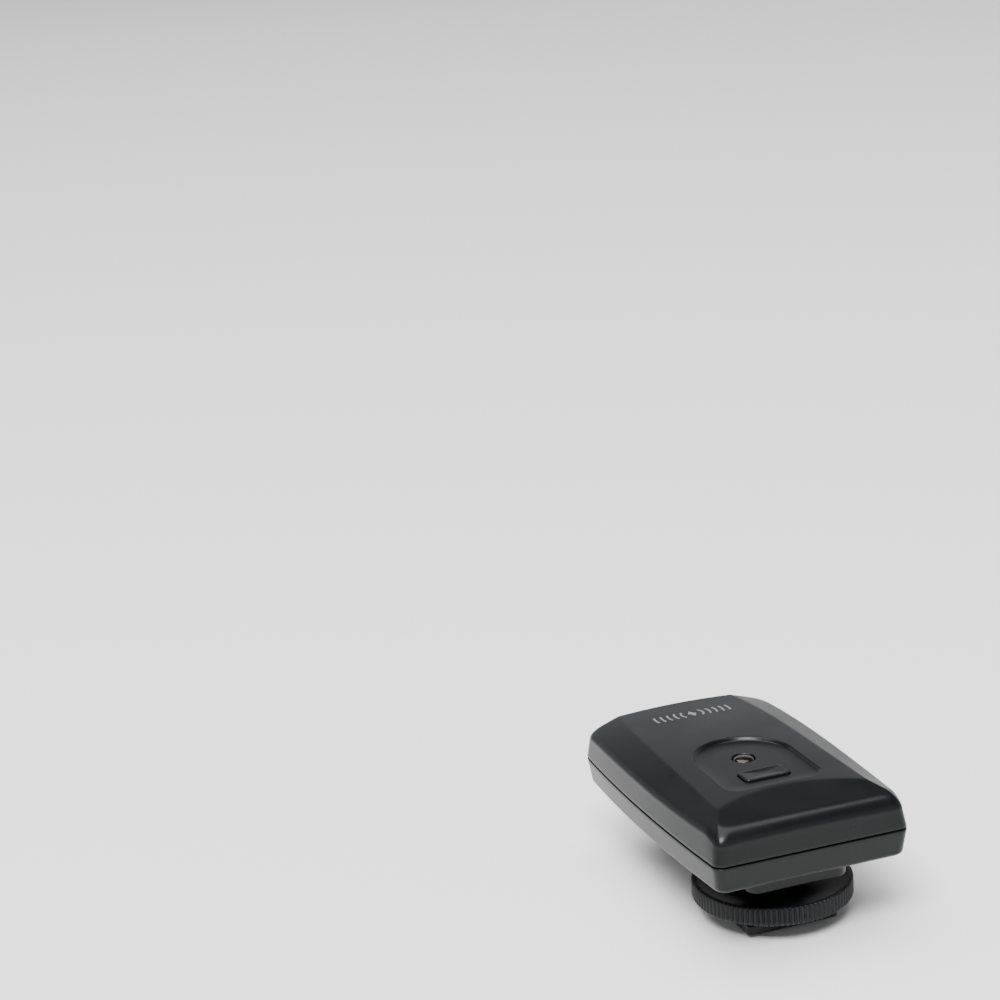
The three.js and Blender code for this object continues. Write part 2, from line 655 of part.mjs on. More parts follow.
function circuitBoard() {
  const sheet = block(-BOARD_HALF, BOARD_HALF, BOARD_REAR_Y, BOARD_FRONT_Y, BOARD_BOTTOM_Z, BOARD_TOP_Z);
  const notches = CASING_POSTS.map(([x, y]) => {
    return rod(x, y, BOARD_BOTTOM_Z - 1, BOARD_TOP_Z + 1, POST_RADIUS + CLEARANCE, 16);
  });
  const corners = CASING_POSTS.map(([x, y]) => {
    const outX = Math.sign(x) * BOARD_HALF;
    const outY = y < MIDDLE_Y / 2 ? BOARD_REAR_Y : BOARD_FRONT_Y;
    const [x0, x1] = [Math.min(x, outX + Math.sign(x)), Math.max(x, outX + Math.sign(x))];
    const [y0, y1] = [Math.min(y, outY - 1), Math.max(y, outY + 1)];
    return block(x0, x1, y0, y1, BOARD_BOTTOM_Z - 1, BOARD_TOP_Z + 1);
  });
  const holes = BOARD_SCREWS.map(([x, y]) => {
    return rod(x, y, BOARD_BOTTOM_Z - 1, BOARD_TOP_Z + 1, SCREW_RADIUS + CLEARANCE, 12);
  });
  return cut(sheet, ...notches, ...corners, ...holes);
}

// A moulded chip with a row of legs down each long side.
function chip(x, y, width, length, height, legsPerSide) {
  const [left, rear] = [x - width / 2, y - length / 2];
  const body = block(left, left + width, rear, rear + length, BOARD_TOP_Z + 0.2, BOARD_TOP_Z + height);
  const pitch = length / legsPerSide;
  const legs = [];
  for (let leg = 0; leg < legsPerSide; leg++) {
    const legY = rear + pitch * (leg + 0.3);
    const reach = width / 2 + 1;
    legs.push(block(x - reach, x + reach, legY, legY + 0.4 * pitch, BOARD_TOP_Z, BOARD_TOP_Z + 0.7));
  }
  return joined(body, ...legs);
}

function electrolyticCan(x, y, radius, height) {
  const base = block(x - radius, x + radius, y - radius, y + radius, BOARD_TOP_Z, BOARD_TOP_Z + 0.8);
  return joined(base, rod(x, y, BOARD_TOP_Z + 0.5, BOARD_TOP_Z + height, radius - 0.15, 24));
}

function crystalCan(x, y, width, length, height) {
  const [left, rear] = [x - width / 2, y - length / 2];
  const outline = roundedRectangle(left, left + width, rear, rear + length, length / 2 - 0.1);
  return prism(outline, BOARD_TOP_Z, BOARD_TOP_Z + height);
}

add("circuit_board", circuitBoard(), BOARD_GREEN, 0.4);
add("encoder_chip", chip(-8.2, 1.5, 3.9, 9.9, 1.7, 8), CHIP_BLACK, 0.5);
add("crystal_can", crystalCan(-6.5, 14.6, 10.5, 4.4, 3.4), STEEL, 0.3, 1);
add("capacitor", electrolyticCan(-2.6, -12.6, 2.2, 5), STEEL, 0.35, 1);

// The antenna is a coil of stiff wire that stands along the left side of the board.
const ANTENNA_RADIUS = 1.9;
const antenna = add("antenna_coil", wire(new Helix(ANTENNA_RADIUS, 7, 17), 0.35, 63, 3), BRASS, 0.3, 1);
antenna.rotation.x = -Math.PI / 2;
antenna.position.set(-14.4, -6.4, BOARD_TOP_Z + ANTENNA_RADIUS + 0.7);

// ---------------------------------------------------------------- channel switch and sync socket

const switchSlotHeight = SLIDER_TRAVEL + SLIDER_SIZE + 0.3;
const sliderY = (way) => SWITCH_Y + SWITCH_PITCH * (way - (SWITCH_WAYS - 1) / 2);

function channelSwitchBody() {
  const body = block(
    SWITCH_OUTER_X - SWITCH_DEPTH,
    SWITCH_OUTER_X,
    SWITCH_Y - SWITCH_LENGTH / 2,
    SWITCH_Y + SWITCH_LENGTH / 2,
    BOARD_TOP_Z,
    BOARD_TOP_Z + SWITCH_HEIGHT,
  );
  const slots = [];
  for (let way = 0; way < SWITCH_WAYS; way++) {
    const half = SLIDER_SIZE / 2 + CLEARANCE / 2;
    const bottom = SWITCH_MIDDLE_Z - switchSlotHeight / 2;
    const y = sliderY(way);
    const top = bottom + switchSlotHeight;
    slots.push(block(SWITCH_OUTER_X - 1.6, SWITCH_OUTER_X + 1, y - half, y + half, bottom, top));
  }
  return cut(body, ...slots);
}

add("channel_switch_body", channelSwitchBody(), 0x9c2f2a, 0.45);
for (let way = 0; way < SWITCH_WAYS; way++) {
  const middle = SWITCH_MIDDLE_Z + (SLIDERS_UP[way] ? SLIDER_TRAVEL / 2 : -SLIDER_TRAVEL / 2);
  const half = SLIDER_SIZE / 2;
  const y = sliderY(way);
  const [inner, outer] = [SWITCH_OUTER_X - 1.3, SWITCH_OUTER_X + 1.5];
  const knob = block(inner, outer, y - half, y + half, middle - half, middle + half);
  add("channel_slider_" + (way + 1), knob, 0xe4e4e0, 0.45);
}

function syncSocketBody() {
  const outer = SOCKET_FACE_X;
  const inner = outer - SOCKET_LENGTH;
  const body = block(inner, outer, SOCKET_Y - 3, SOCKET_Y + 3, BOARD_TOP_Z, BOARD_TOP_Z + SOCKET_HEIGHT);
  return cut(body, rodAlongX(inner + 1.4, outer + 1, SOCKET_Y, SOCKET_Z, SOCKET_BORE_RADIUS + 0.2, 24));
}

// The metal sleeve stands on the socket's front face and ends flush with the wall.
function syncSocketSleeve() {
  const from = SOCKET_FACE_X;
  const to = halfWidth(SOCKET_Y) - 0.3;
  const sleeve = rodAlongX(from, to, SOCKET_Y, SOCKET_Z, SOCKET_SLEEVE_RADIUS, 32);
  return cut(sleeve, rodAlongX(from - 1, to + 1, SOCKET_Y, SOCKET_Z, SOCKET_BORE_RADIUS, 24));
}

add("sync_socket_body", syncSocketBody(), CHIP_BLACK, 0.5);
add("sync_socket_sleeve", syncSocketSleeve(), STEEL, 0.3, 1);

// ---------------------------------------------------------------- cell and its contacts

function batteryCell() {
  const can = rodAlongX(CELL_LEFT_X, CELL_RIGHT_X - 1.2, CELL_Y, CELL_Z, CELL_RADIUS, 32);
  return joined(can, rodAlongX(CELL_RIGHT_X - 1.5, CELL_RIGHT_X, CELL_Y, CELL_Z, 2.4, 16));
}

function contactPlate(x) {
  const [rear, front] = [CELL_Y - CONTACT_HALF, CELL_Y + CONTACT_HALF];
  return block(x, x + CONTACT_THICKNESS, rear, front, CELL_Z - CONTACT_HALF, CELL_Z + CONTACT_HALF - 1);
}

add("battery_cell", batteryCell(), 0x8c8f94, 0.35, 0.6);
add("positive_contact_plate", contactPlate(POSITIVE_X), STEEL, 0.3, 1);
add("negative_contact_plate", contactPlate(NEGATIVE_X), STEEL, 0.3, 1);

const springFrom = NEGATIVE_X + CONTACT_THICKNESS + 0.5;
const springTo = CELL_LEFT_X - 0.5;
const cellCoil = wire(new Helix(2.8, 3, springTo - springFrom), 0.25, 33, 3);
const cellSpring = add("cell_spring", cellCoil, STEEL, 0.3, 1);
cellSpring.rotation.y = Math.PI / 2;
cellSpring.position.set(springFrom, CELL_Y, CELL_Z);

// ---------------------------------------------------------------- hot-shoe foot

const screwXs = [-FOOT_SCREW_X, FOOT_SCREW_X];

function footScrewHoles(z0, z1) {
  return screwXs.map((x) => rod(x, 0, z0, z1, FOOT_SCREW_RADIUS + CLEARANCE, 12));
}

function shoePlate() {
  const shape = roundedRectangle(-SHOE_WIDTH / 2, SHOE_WIDTH / 2, -SHOE_LENGTH / 2, SHOE_LENGTH / 2, 0.8);
  const leafSlot = block(SHOE_WIDTH / 2 - 0.7, SHOE_WIDTH / 2 + 1, -5.3, 5.3, 0.5, 1.5);
  return cut(
    prism(shape, 0, SHOE_THICKNESS),
    rod(0, 0, -1, 1, PIN_RADIUS + CLEARANCE, 24),
    rod(0, 0, 0.7, SHOE_THICKNESS + 1, PIN_BORE_RADIUS, 28),
    leafSlot,
    ...footScrewHoles(0.7, SHOE_THICKNESS + 1),
  );
}

function threadedStem() {
  return cut(
    rod(0, 0, SHOE_THICKNESS, PLINTH_FLOOR_Z, STEM_RADIUS, 48),
    rod(0, 0, 1, PLINTH_FLOOR_Z + 1, PIN_BORE_RADIUS, 28),
    ...footScrewHoles(1, PLINTH_FLOOR_Z + 1),
  );
}

function retainingPlate() {
  const half = RETAINER_HALF;
  const shape = roundedRectangle(-half, half, -half + 1, half - 1, 1);
  const middleHole = rod(0, 0, PLATE_Z - 1, PLATE_TOP_Z + 1, 1.7, 24);
  const screwHoles = footScrewHoles(PLATE_Z - 1, PLATE_TOP_Z + 1);
  return cut(prism(shape, PLATE_Z, PLATE_TOP_Z), middleHole, ...screwHoles);
}

function pinProfile() {
  return turned([
    [0, -PIN_PROUD],
    [PIN_RADIUS * 0.7, -PIN_PROUD],
    [PIN_RADIUS, -PIN_PROUD + 0.3],
    [PIN_RADIUS, 1],
    [PIN_FLANGE_RADIUS, 1],
    [PIN_FLANGE_RADIUS, 1.8],
    [0.6, 1.8],
    [0.6, 5],
    [0, 5],
  ], 16);
}

// The stud that the spring presses against, and the wire is soldered to.
const STUD_Z = PLATE_TOP_Z - 4.1;

function terminalStud() {
  const top = PLATE_TOP_Z + 1.3;
  return turned([[0, STUD_Z], [1.4, STUD_Z], [1.4, top - 0.7], [0.6, top], [0, top]], 16);
}

const PIN_SPRING_FROM_Z = 2.3;
const PIN_SPRING_TO_Z = STUD_Z - 0.3;
add("shoe_plate", shoePlate(), BLACK_NYLON, 0.5);
add("threaded_stem", threadedStem(), BLACK_NYLON, 0.5);
add("foot_retaining_plate", retainingPlate(), STEEL, 0.35, 1);
add("centre_contact_pin", pinProfile(), BRASS, 0.25, 1);
add("contact_terminal", terminalStud(), BRASS, 0.3, 1);
const springLength = PIN_SPRING_TO_Z - PIN_SPRING_FROM_Z;
const pinCoil = wire(new Helix(1.25, 5, springLength), 0.2, 45, 3);
const pinSpring = add("contact_spring", pinCoil, STEEL, 0.3, 1);
pinSpring.position.z = PIN_SPRING_FROM_Z;
const leaf = block(SHOE_WIDTH / 2 - 0.4, SHOE_WIDTH / 2, -5, 5, 0.7, 1.3);
add("ground_contact_leaf", leaf, BRASS, 0.3, 1);

// ---------------------------------------------------------------- locking ring

const washerTopZ = RING_BOTTOM_Z - WASHER_PROUD + WASHER_THICKNESS;

// The knurled rim: a tooth and a valley for each step round the circle.
function ringOutline() {
  const shape = new THREE.Shape();
  const half = Math.PI / RING_TEETH;
  const valley = RING_RADIUS - RING_TOOTH_DEPTH;
  shape.moveTo(RING_RADIUS, 0);
  for (let tooth = 0; tooth < RING_TEETH; tooth++) {
    const angle = 2 * half * tooth;
    shape.lineTo(RING_RADIUS * Math.cos(angle), RING_RADIUS * Math.sin(angle));
    shape.lineTo(valley * Math.cos(angle + half), valley * Math.sin(angle + half));
  }
  return shape;
}

// The underside is sunk for the pressure washer.
function lockingRing() {
  const top = RING_BOTTOM_Z + RING_HEIGHT;
  return cut(
    prism(ringOutline(), RING_BOTTOM_Z, top),
    rod(0, 0, RING_BOTTOM_Z - 1, top + 1, STEM_RADIUS + CLEARANCE, 36),
    rod(0, 0, RING_BOTTOM_Z - 1, washerTopZ + CLEARANCE, WASHER_RADIUS + CLEARANCE, 36),
  );
}

function pressureWasher() {
  const bottom = RING_BOTTOM_Z - WASHER_PROUD;
  const disc = rod(0, 0, bottom, washerTopZ, WASHER_RADIUS, 36);
  return cut(disc, rod(0, 0, bottom - 1, washerTopZ + 1, STEM_RADIUS + CLEARANCE, 36));
}

add("locking_ring", lockingRing(), BLACK_NYLON, 0.5);
add("pressure_washer", pressureWasher(), BLACK_NYLON, 0.5);

// ---------------------------------------------------------------- fasteners

// A pan-head screw with a cross recess, head at z = 0 and upwards, shank below it.
function panHeadScrew(shankRadius, headRadius, headHeight, length) {
  const body = turned([
    [0, -length],
    [shankRadius * 0.4, -length],
    [shankRadius, -length + shankRadius],
    [shankRadius, 0],
    [headRadius, 0],
    [headRadius, headHeight * 0.5],
    [headRadius * 0.7, headHeight],
    [0, headHeight],
  ], 12);
  const arm = headRadius * 0.6;
  const deep = headHeight * 0.45;
  const cross = joined(
    block(-arm, arm, -0.2, 0.2, headHeight - deep, headHeight + 1),
    block(-0.2, 0.2, -arm, arm, headHeight - deep, headHeight + 1),
  );
  return cut(body, cross);
}

const casingScrew = panHeadScrew(SCREW_RADIUS, SCREW_HEAD_RADIUS, SCREW_HEAD_HEIGHT, CASING_SCREW_LENGTH);
["rear_left", "rear_right", "front_left", "front_right"].forEach((place, i) => {
  const screw = add("casing_screw_" + place, casingScrew, STEEL, 0.35, 1);
  const [x, y] = CASING_POSTS[i];
  screw.rotation.x = Math.PI;
  screw.position.set(x, y, BOTTOM_Z + 0.3 + SCREW_HEAD_HEIGHT);
});

const boardScrew = panHeadScrew(SCREW_RADIUS, SCREW_HEAD_RADIUS, 1.1, BOARD_THICKNESS + 1.6);
["rear", "front"].forEach((place, i) => {
  const screw = add("board_screw_" + place, boardScrew, STEEL, 0.35, 1);
  screw.position.set(BOARD_SCREWS[i][0], BOARD_SCREWS[i][1], BOARD_TOP_Z);
});

const footScrew = panHeadScrew(FOOT_SCREW_RADIUS, 1.5, 0.9, PLATE_TOP_Z - 1.1);
["left", "right"].forEach((place, i) => {
  const screw = add("foot_screw_" + place, footScrew, STEEL, 0.35, 1);
  screw.position.set(screwXs[i], 0, PLATE_TOP_Z);
});

// ---------------------------------------------------------------- leads

const LEAD_RADIUS = 0.45;
const overRibZ = RIB_TOP_Z + 1;
const ribMiddleY = REAR_RIB_Y + RIB_THICKNESS / 2;
const leadEndZ = BOARD_TOP_Z + LEAD_RADIUS + 0.15;

// From a contact plate, over the rib behind the cell, down to the board.
function cellLead(plateX, boardX) {
  const side = Math.sign(plateX);
  const plateY = CELL_Y - CONTACT_HALF;
  return curveThrough(
    [plateX, plateY - LEAD_RADIUS, CELL_Z],
    [plateX, plateY - 1.2, CELL_Z + 0.4 * CONTACT_HALF],
    [plateX - 1.2 * side, ribMiddleY, overRibZ],
    [boardX + 0.6 * side, ribMiddleY - 2, BOARD_TOP_Z + 3],
    [boardX, ribMiddleY - 2.6, leadEndZ],
  );
}

const positiveLead = wire(cellLead(POSITIVE_X + CONTACT_THICKNESS / 2, 12.2), LEAD_RADIUS, 15, 3);
const negativeLead = wire(cellLead(NEGATIVE_X + CONTACT_THICKNESS / 2, -12.2), LEAD_RADIUS, 15, 3);
add("positive_lead", positiveLead, 0xb02020, 0.5);
add("negative_lead", negativeLead, 0x202020, 0.5);
const shoeLead = curveThrough(
  [0, 0, PLATE_TOP_Z + 1.3 + LEAD_RADIUS],
  [1.6, 0.6, PLATE_TOP_Z + 2.2],
  [3.2, 2, FLOOR_Z + 0.2],
  [3.4, 3.6, BOARD_BOTTOM_Z - LEAD_RADIUS - 0.2],
);
add("hot_shoe_lead", wire(shoeLead, LEAD_RADIUS, 10, 3), 0xd8d8d2, 0.5);

export default part;
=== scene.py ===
# %% [markdown]
# # A wireless flash trigger
# This small radio transmitter slides into the hot shoe of a camera and is clamped there with a
# knurled ring. Two shells of black ABS hold a circuit board and a 12 V cell. The script lays
# smooth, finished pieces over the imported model, which is the frame that everything hangs on.

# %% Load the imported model
import math

import bpy
import numpy as np
from mathutils import Matrix, Vector


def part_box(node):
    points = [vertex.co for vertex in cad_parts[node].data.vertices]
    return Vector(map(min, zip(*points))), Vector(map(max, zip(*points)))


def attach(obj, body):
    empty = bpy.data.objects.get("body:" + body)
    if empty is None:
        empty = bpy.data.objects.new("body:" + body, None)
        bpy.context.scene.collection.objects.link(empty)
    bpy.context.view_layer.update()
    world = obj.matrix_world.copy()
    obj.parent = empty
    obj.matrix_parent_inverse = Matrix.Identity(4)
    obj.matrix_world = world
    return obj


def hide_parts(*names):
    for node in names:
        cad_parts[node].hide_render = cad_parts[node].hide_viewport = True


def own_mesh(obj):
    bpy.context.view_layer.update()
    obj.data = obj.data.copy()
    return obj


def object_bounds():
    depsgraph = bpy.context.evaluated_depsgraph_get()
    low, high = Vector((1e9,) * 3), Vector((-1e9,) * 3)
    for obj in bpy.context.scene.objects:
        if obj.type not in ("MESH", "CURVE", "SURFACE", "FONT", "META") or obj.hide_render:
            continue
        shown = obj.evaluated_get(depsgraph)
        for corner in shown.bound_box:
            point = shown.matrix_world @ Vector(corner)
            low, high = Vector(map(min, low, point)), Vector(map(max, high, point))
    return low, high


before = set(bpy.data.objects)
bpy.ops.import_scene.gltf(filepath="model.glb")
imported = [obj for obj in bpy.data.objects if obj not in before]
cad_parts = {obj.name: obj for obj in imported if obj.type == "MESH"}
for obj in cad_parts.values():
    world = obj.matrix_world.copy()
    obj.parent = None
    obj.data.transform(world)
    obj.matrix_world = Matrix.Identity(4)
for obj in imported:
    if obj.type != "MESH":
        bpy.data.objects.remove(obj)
cad_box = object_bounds()
MM = 0.001


def packed(node):
    """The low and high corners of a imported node's box, in millimetres."""
    return tuple(np.array(corner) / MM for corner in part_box(node))


print("box in mm:", [[round(v / MM, 2) for v in corner] for corner in cad_box])


# %% [markdown]
# ## The camera
# A camera is a place and three directions at right angles: right, up and back. Written as the
# columns of a matrix, they turn the camera in one step, with no angles to guess. The lens is a
# short telephoto, so the long casing narrows only a little towards its far end.

# %% Camera
camera_right = Vector((0.93858532, -0.33890696, -0.06480491))
camera_up = Vector((0.15373349, 0.2425957, 0.95786917))
camera_back = Vector((-0.30890713, -0.90900462, 0.27979811))
camera_data = bpy.data.cameras.new("camera")
camera_data.lens = 90
camera_data.sensor_width = 36
camera_data.clip_start = 0.01
camera = bpy.data.objects.new("camera", camera_data)
bpy.context.scene.collection.objects.link(camera)
turn = Matrix((camera_right, camera_up, camera_back)).transposed().to_4x4()
camera.matrix_world = Matrix.Translation(Vector((-184.0, -396.468, 211.042)) * MM) @ turn
bpy.context.scene.camera = camera
print("camera at", [round(v, 3) for v in camera.matrix_world.translation])


# %% [markdown]
# ## Colours and nodes
# Colours are chosen as sRGB hex values, as a paint chart gives them, but a renderer works with
# light, so one function turns them linear. A second small function adds a shader node with its
# settings and links. Every finish below is built from these two.

# %% Colour and node helpers
def colour(hexadecimal):
    """sRGB hex to linear RGBA: below 0.04045 divide by 12.92, above it raise to the power 2.4."""
    channels = [int(hexadecimal[i:i + 2], 16) / 255 for i in (1, 3, 5)]
    linear = [c / 12.92 if c <= 0.04045 else ((c + 0.055) / 1.055) ** 2.4 for c in channels]
    return (*linear, 1.0)


def add_node(tree, kind, inputs=None, **settings):
    """Adds a node. An input given as a socket is linked to it, and any other value is set on it."""
    node = tree.nodes.new(kind)
    for name, value in settings.items():
        setattr(node, name, value)
    for name, value in (inputs or {}).items():
        if isinstance(value, bpy.types.NodeSocket):
            tree.links.new(value, node.inputs[name])
        else:
            node.inputs[name].default_value = value
    return node


def new_tree(name):
    """A material of that name with an empty node tree, and the tree."""
    material = bpy.data.materials.new(name)
    material.use_nodes = True
    material.node_tree.nodes.clear()
    return material, material.node_tree


def set_surface(tree, shader):
    """Links a shader node's result to the material's surface."""
    output = add_node(tree, "ShaderNodeOutputMaterial")
    tree.links.new(shader.outputs[0], output.inputs["Surface"])


def per_metre(millimetres):
    """The scale of a pattern whose features are this wide."""
    return 1 / (millimetres * MM)


SHELL_BLACK = "#0b0d0e"
print("black ABS in linear light:", [round(c, 4) for c in colour(SHELL_BLACK)])


# %% [markdown]
# ## Light and floor
# Black plastic shows little colour of its own. What the eye reads is the room in its gloss: the
# low part of the room lies on the long top and the right bevel, a darker ceiling on the rear
# slope. The world is a ramp by height, brightest from 15 to 22 degrees up and dark above 33. Two
# area lamps, as softboxes, light the trigger from above and from the rear left.

# %% Studio
def studio_world():
    """The sky by the sine of its height: mid grey at the horizon, then pale, then dark."""
    world = bpy.data.worlds.new("studio")
    world.use_nodes = True
    tree = world.node_tree
    tree.nodes.clear()
    place = add_node(tree, "ShaderNodeTexCoord")
    parts = add_node(tree, "ShaderNodeSeparateXYZ", {"Vector": place.outputs["Generated"]})
    ramp = add_node(tree, "ShaderNodeValToRGB", {"Fac": parts.outputs["Z"]})
    ramp.color_ramp.interpolation = "EASE"
    steps = ramp.color_ramp.elements
    steps[0].position, steps[0].color = 0.0, (0.5, 0.5, 0.5, 1)
    steps[1].position, steps[1].color = 1.0, (0.08, 0.085, 0.09, 1)
    for position, grey in ((0.12, 0.55), (0.26, 0.95), (0.37, 0.85), (0.42, 0.46), (0.54, 0.03)):
        step = steps.new(position)
        step.color = (grey, grey, grey * 1.02, 1)
    sky = add_node(tree, "ShaderNodeBackground", {"Color": ramp.outputs["Color"], "Strength": 1.0})
    output = add_node(tree, "ShaderNodeOutputWorld")
    tree.links.new(sky.outputs[0], output.inputs["Surface"])
    bpy.context.scene.world = world


def softbox(name, place, aim, size, watts):
    """A square or oblong area lamp at a place, facing the aim, in metres."""
    data = bpy.data.lights.new(name, "AREA")
    data.shape = "RECTANGLE"
    data.size, data.size_y = size
    data.energy = watts
    lamp = bpy.data.objects.new(name, data)
    bpy.context.scene.collection.objects.link(lamp)
    lamp.location = place
    lamp.rotation_euler = (Vector(aim) - Vector(place)).to_track_quat("-Z", "Y").to_euler()


studio_world()
OBJECT_MIDDLE = (0.0, 0.013, 0.018)
softbox("softbox_overhead", (-0.3, 0.3, 3.0), OBJECT_MIDDLE, (3.4, 3.4), 160)
softbox("softbox_rear_left", (-0.5, -0.76, 1.18), OBJECT_MIDDLE, (0.7, 0.5), 38)


# %% [markdown]
# ## Surfaces from rows of points
# Almost every piece is one closed skin: loops of points, each a little further along a profile,
# stitched into quads. A disc-like piece closes to a point at both ends, and a ring-like piece
# joins its last loop to its first. numpy works each loop out as one array. The faces are turned
# outwards by the sign of the volume that they enclose.

# %% Mesh helpers
def fill_object(name, points, faces):
    """An object at the origin whose mesh has these points, in millimetres, and faces."""
    mesh = bpy.data.meshes.new(name)
    mesh.from_pydata((np.asarray(points) * MM).tolist(), [], faces)
    mesh.validate()
    item = bpy.data.objects.new(name, mesh)
    bpy.context.scene.collection.objects.link(item)
    return item


def stitch(rows, ends="pole"):
    """Points and faces of a skin through loops of points, each a row of the same count.

    ends is "pole" where the first and last loops close to their mean points, "flat" where each
    is one face, and "ring" where the last loop joins the first. The faces point outwards where
    the sum of a . (b x c) over the triangles a, b, c, six times the volume, is above zero."""
    rows = np.asarray(rows, float)
    loops, count = rows.shape[:2]
    points = rows.reshape(-1, 3)
    here = np.arange(count)
    after = (here + 1) % count
    first = (np.arange(loops if ends == "ring" else loops - 1) * count)[:, None]
    second = (first + count) % (loops * count)
    quads = np.stack([first + here, first + after, second + after, second + here], -1).reshape(-1, 4)
    last = (loops - 1) * count
    faces = quads.tolist()
    if ends == "pole":
        points = np.vstack([points, rows[0].mean(0), rows[-1].mean(0)])
        low, high = loops * count, loops * count + 1
        faces += np.stack([after, here, np.full(count, low)], -1).tolist()
        faces += np.stack([last + here, last + after, np.full(count, high)], -1).tolist()
    if ends == "flat":
        faces += [here[::-1].tolist(), (last + here).tolist()]
    a, b, c, d = points[quads[:, 0]], points[quads[:, 1]], points[quads[:, 2]], points[quads[:, 3]]
    volume = (a * np.cross(b, c)).sum() + (a * np.cross(c, d)).sum()
    if ends != "ring":
        fan = points[quads[:count, 0]]
        volume += (rows[0].mean(0) * np.cross(np.roll(fan, -1, 0), fan)).sum()
        rim = rows[-1]
        volume += (rows[-1].mean(0) * np.cross(rim, np.roll(rim, -1, 0))).sum()
    if volume < 0:
        faces = [face[::-1] for face in faces]
    return points, faces


def skin(name, rows, ends="pole"):
    """An object made of one stitched skin."""
    return fill_object(name, *stitch(rows, ends))


def together(name, skins):
    """One object from several separate skins, each given as points and faces."""
    points, faces, start = [], [], 0
    for some_points, some_faces in skins:
        faces += [[start + i for i in face] for face in some_faces]
        points.append(some_points)
        start += len(some_points)
    return fill_object(name, np.vstack(points), faces)


def carve(item, cutters, operation="DIFFERENCE"):
    """Cuts each cutter out of the item, or joins or intersects it, and keeps the result."""
    for cutter in cutters:
        step = item.modifiers.new("carve", "BOOLEAN")
        step.object = cutter
        step.operation = operation
        step.solver = "EXACT"
    graph = bpy.context.evaluated_depsgraph_get()
    result = bpy.data.meshes.new_from_object(item.evaluated_get(graph))
    item.modifiers.clear()
    item.data = result
    for cutter in cutters:
        bpy.data.objects.remove(cutter)


def hand_over(item, material, body, nodes=(), crease=35):
    """Gives a finished piece its material and smooth shading, hangs it on its body and hides the CAD
    nodes it stands for.
    """
    item.data.materials.clear()
    item.data.materials.append(material)
    item.data.polygons.foreach_set("use_smooth", [True] * len(item.data.polygons))
    item.data.set_sharp_from_angle(angle=math.radians(crease))
    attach(item, body)
    if nodes:
        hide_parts(*nodes)
    print(item.name, "has", len(item.data.polygons), "faces")
    return item


# %% [markdown]
# ## Outlines in plan
# The casing is a rectangle whose sides bulge and whose corners are rounded. Seen from a point
# inside it, every direction meets it once, so an outline can be kept as distance by direction.
# Two outlines kept this way have matching points, and a skin can pass from one to the other.

# %% Outline helpers
def bowed_outline(rear_half, front_half, rear_y, front_y, side_bow, front_bow, radii):
    """Dense points round the form. Each side is a straight line plus a bow of 4 t (1 - t), and
    each corner is a quadratic curve (1-s)^2 a + 2 s (1-s) c + s^2 b past its sharp corner c."""
    def bow(t):
        return 4 * t * (1 - t)

    sides = [
        lambda t: (rear_half * (2 * t - 1), rear_y + 0 * t),
        lambda t: (rear_half + (front_half - rear_half) * t + side_bow * bow(t),
                   rear_y + (front_y - rear_y) * t),
        lambda t: (front_half * (1 - 2 * t), front_y + front_bow * bow(t)),
        lambda t: (-front_half - (rear_half - front_half) * t - side_bow * bow(t),
                   front_y + (rear_y - front_y) * t),
    ]
    spans = [2 * rear_half, front_y - rear_y, 2 * front_half, front_y - rear_y]
    stretches = []
    for i, side in enumerate(sides):
        following = (i + 1) % 4
        start, stop = radii[i] / spans[i], 1 - radii[following] / spans[i]
        stretches.append(np.stack(side(np.linspace(start, stop, 240)), -1))
        a, c = np.array(side(stop)), np.array(side(1.0))
        b = np.array(sides[following](radii[following] / spans[following]))
        s = np.linspace(0, 1, 42)[1:-1, None]
        stretches.append((1 - s) ** 2 * a + 2 * s * (1 - s) * c + s * s * b)
    return np.vstack(stretches)


def rounded_rectangle(half_x, half_y, radius):
    """Dense points round a rectangle about (0, 0) whose corners are quarter circles."""
    angle = np.linspace(0, math.pi / 2, 31)
    stretches = []
    for quarter, (x, y) in enumerate([(1, -1), (1, 1), (-1, 1), (-1, -1)]):
        bend = angle + (quarter - 1) * math.pi / 2
        corner = np.array([x * (half_x - radius), y * (half_y - radius)])
        stretches.append(corner + radius * np.stack([np.cos(bend), np.sin(bend)], -1))
    points = np.vstack(stretches)
    steps = np.linspace(0, 1, 40, endpoint=False)[:, None]
    beyond = np.roll(points, -1, 0)
    long_ones = np.linalg.norm(beyond - points, axis=1) > 2 * radius / 30
    return np.vstack([
        a + (b - a) * (steps if split else steps[:1])
        for a, b, split in zip(points, beyond, long_ones)
    ])


def directions(outline, centre, count):
    """Angles about the centre, closest together where the outline turns: they divide evenly the
    sum of the length gone and twelve times the angle turned, in millimetres and radians."""
    steps = np.roll(outline, -1, 0) - outline
    heading = np.unwrap(np.arctan2(steps[:, 1], steps[:, 0]))
    turning = np.abs(np.diff(np.append(heading, heading[0] + 2 * math.pi)))
    gone = np.concatenate([[0], np.cumsum(np.hypot(*steps.T) + 12 * turning)])
    closed = np.vstack([outline, outline[:1]]) - centre
    angle = np.unwrap(np.arctan2(closed[:, 1], closed[:, 0]))
    return np.interp(np.linspace(0, gone[-1], count, endpoint=False), gone, angle)


def at_angles(outline, centre, angles):
    """The points where an outline is met in these directions from the centre."""
    off = outline - centre
    found = np.interp(angles, np.arctan2(off[:, 1], off[:, 0]), np.hypot(*off.T), period=2 * math.pi)
    return centre + found[:, None] * np.stack([np.cos(angles), np.sin(angles)], -1)


def circle(radius, angles, centre=(0, 0)):
    """Points of a circle in these directions."""
    return np.array(centre) + radius * np.stack([np.cos(angles), np.sin(angles)], -1)


def lift(outline, height):
    """An outline in plan as a loop in space, at one height or at a height for each point."""
    return np.column_stack([outline, np.broadcast_to(height, len(outline))])


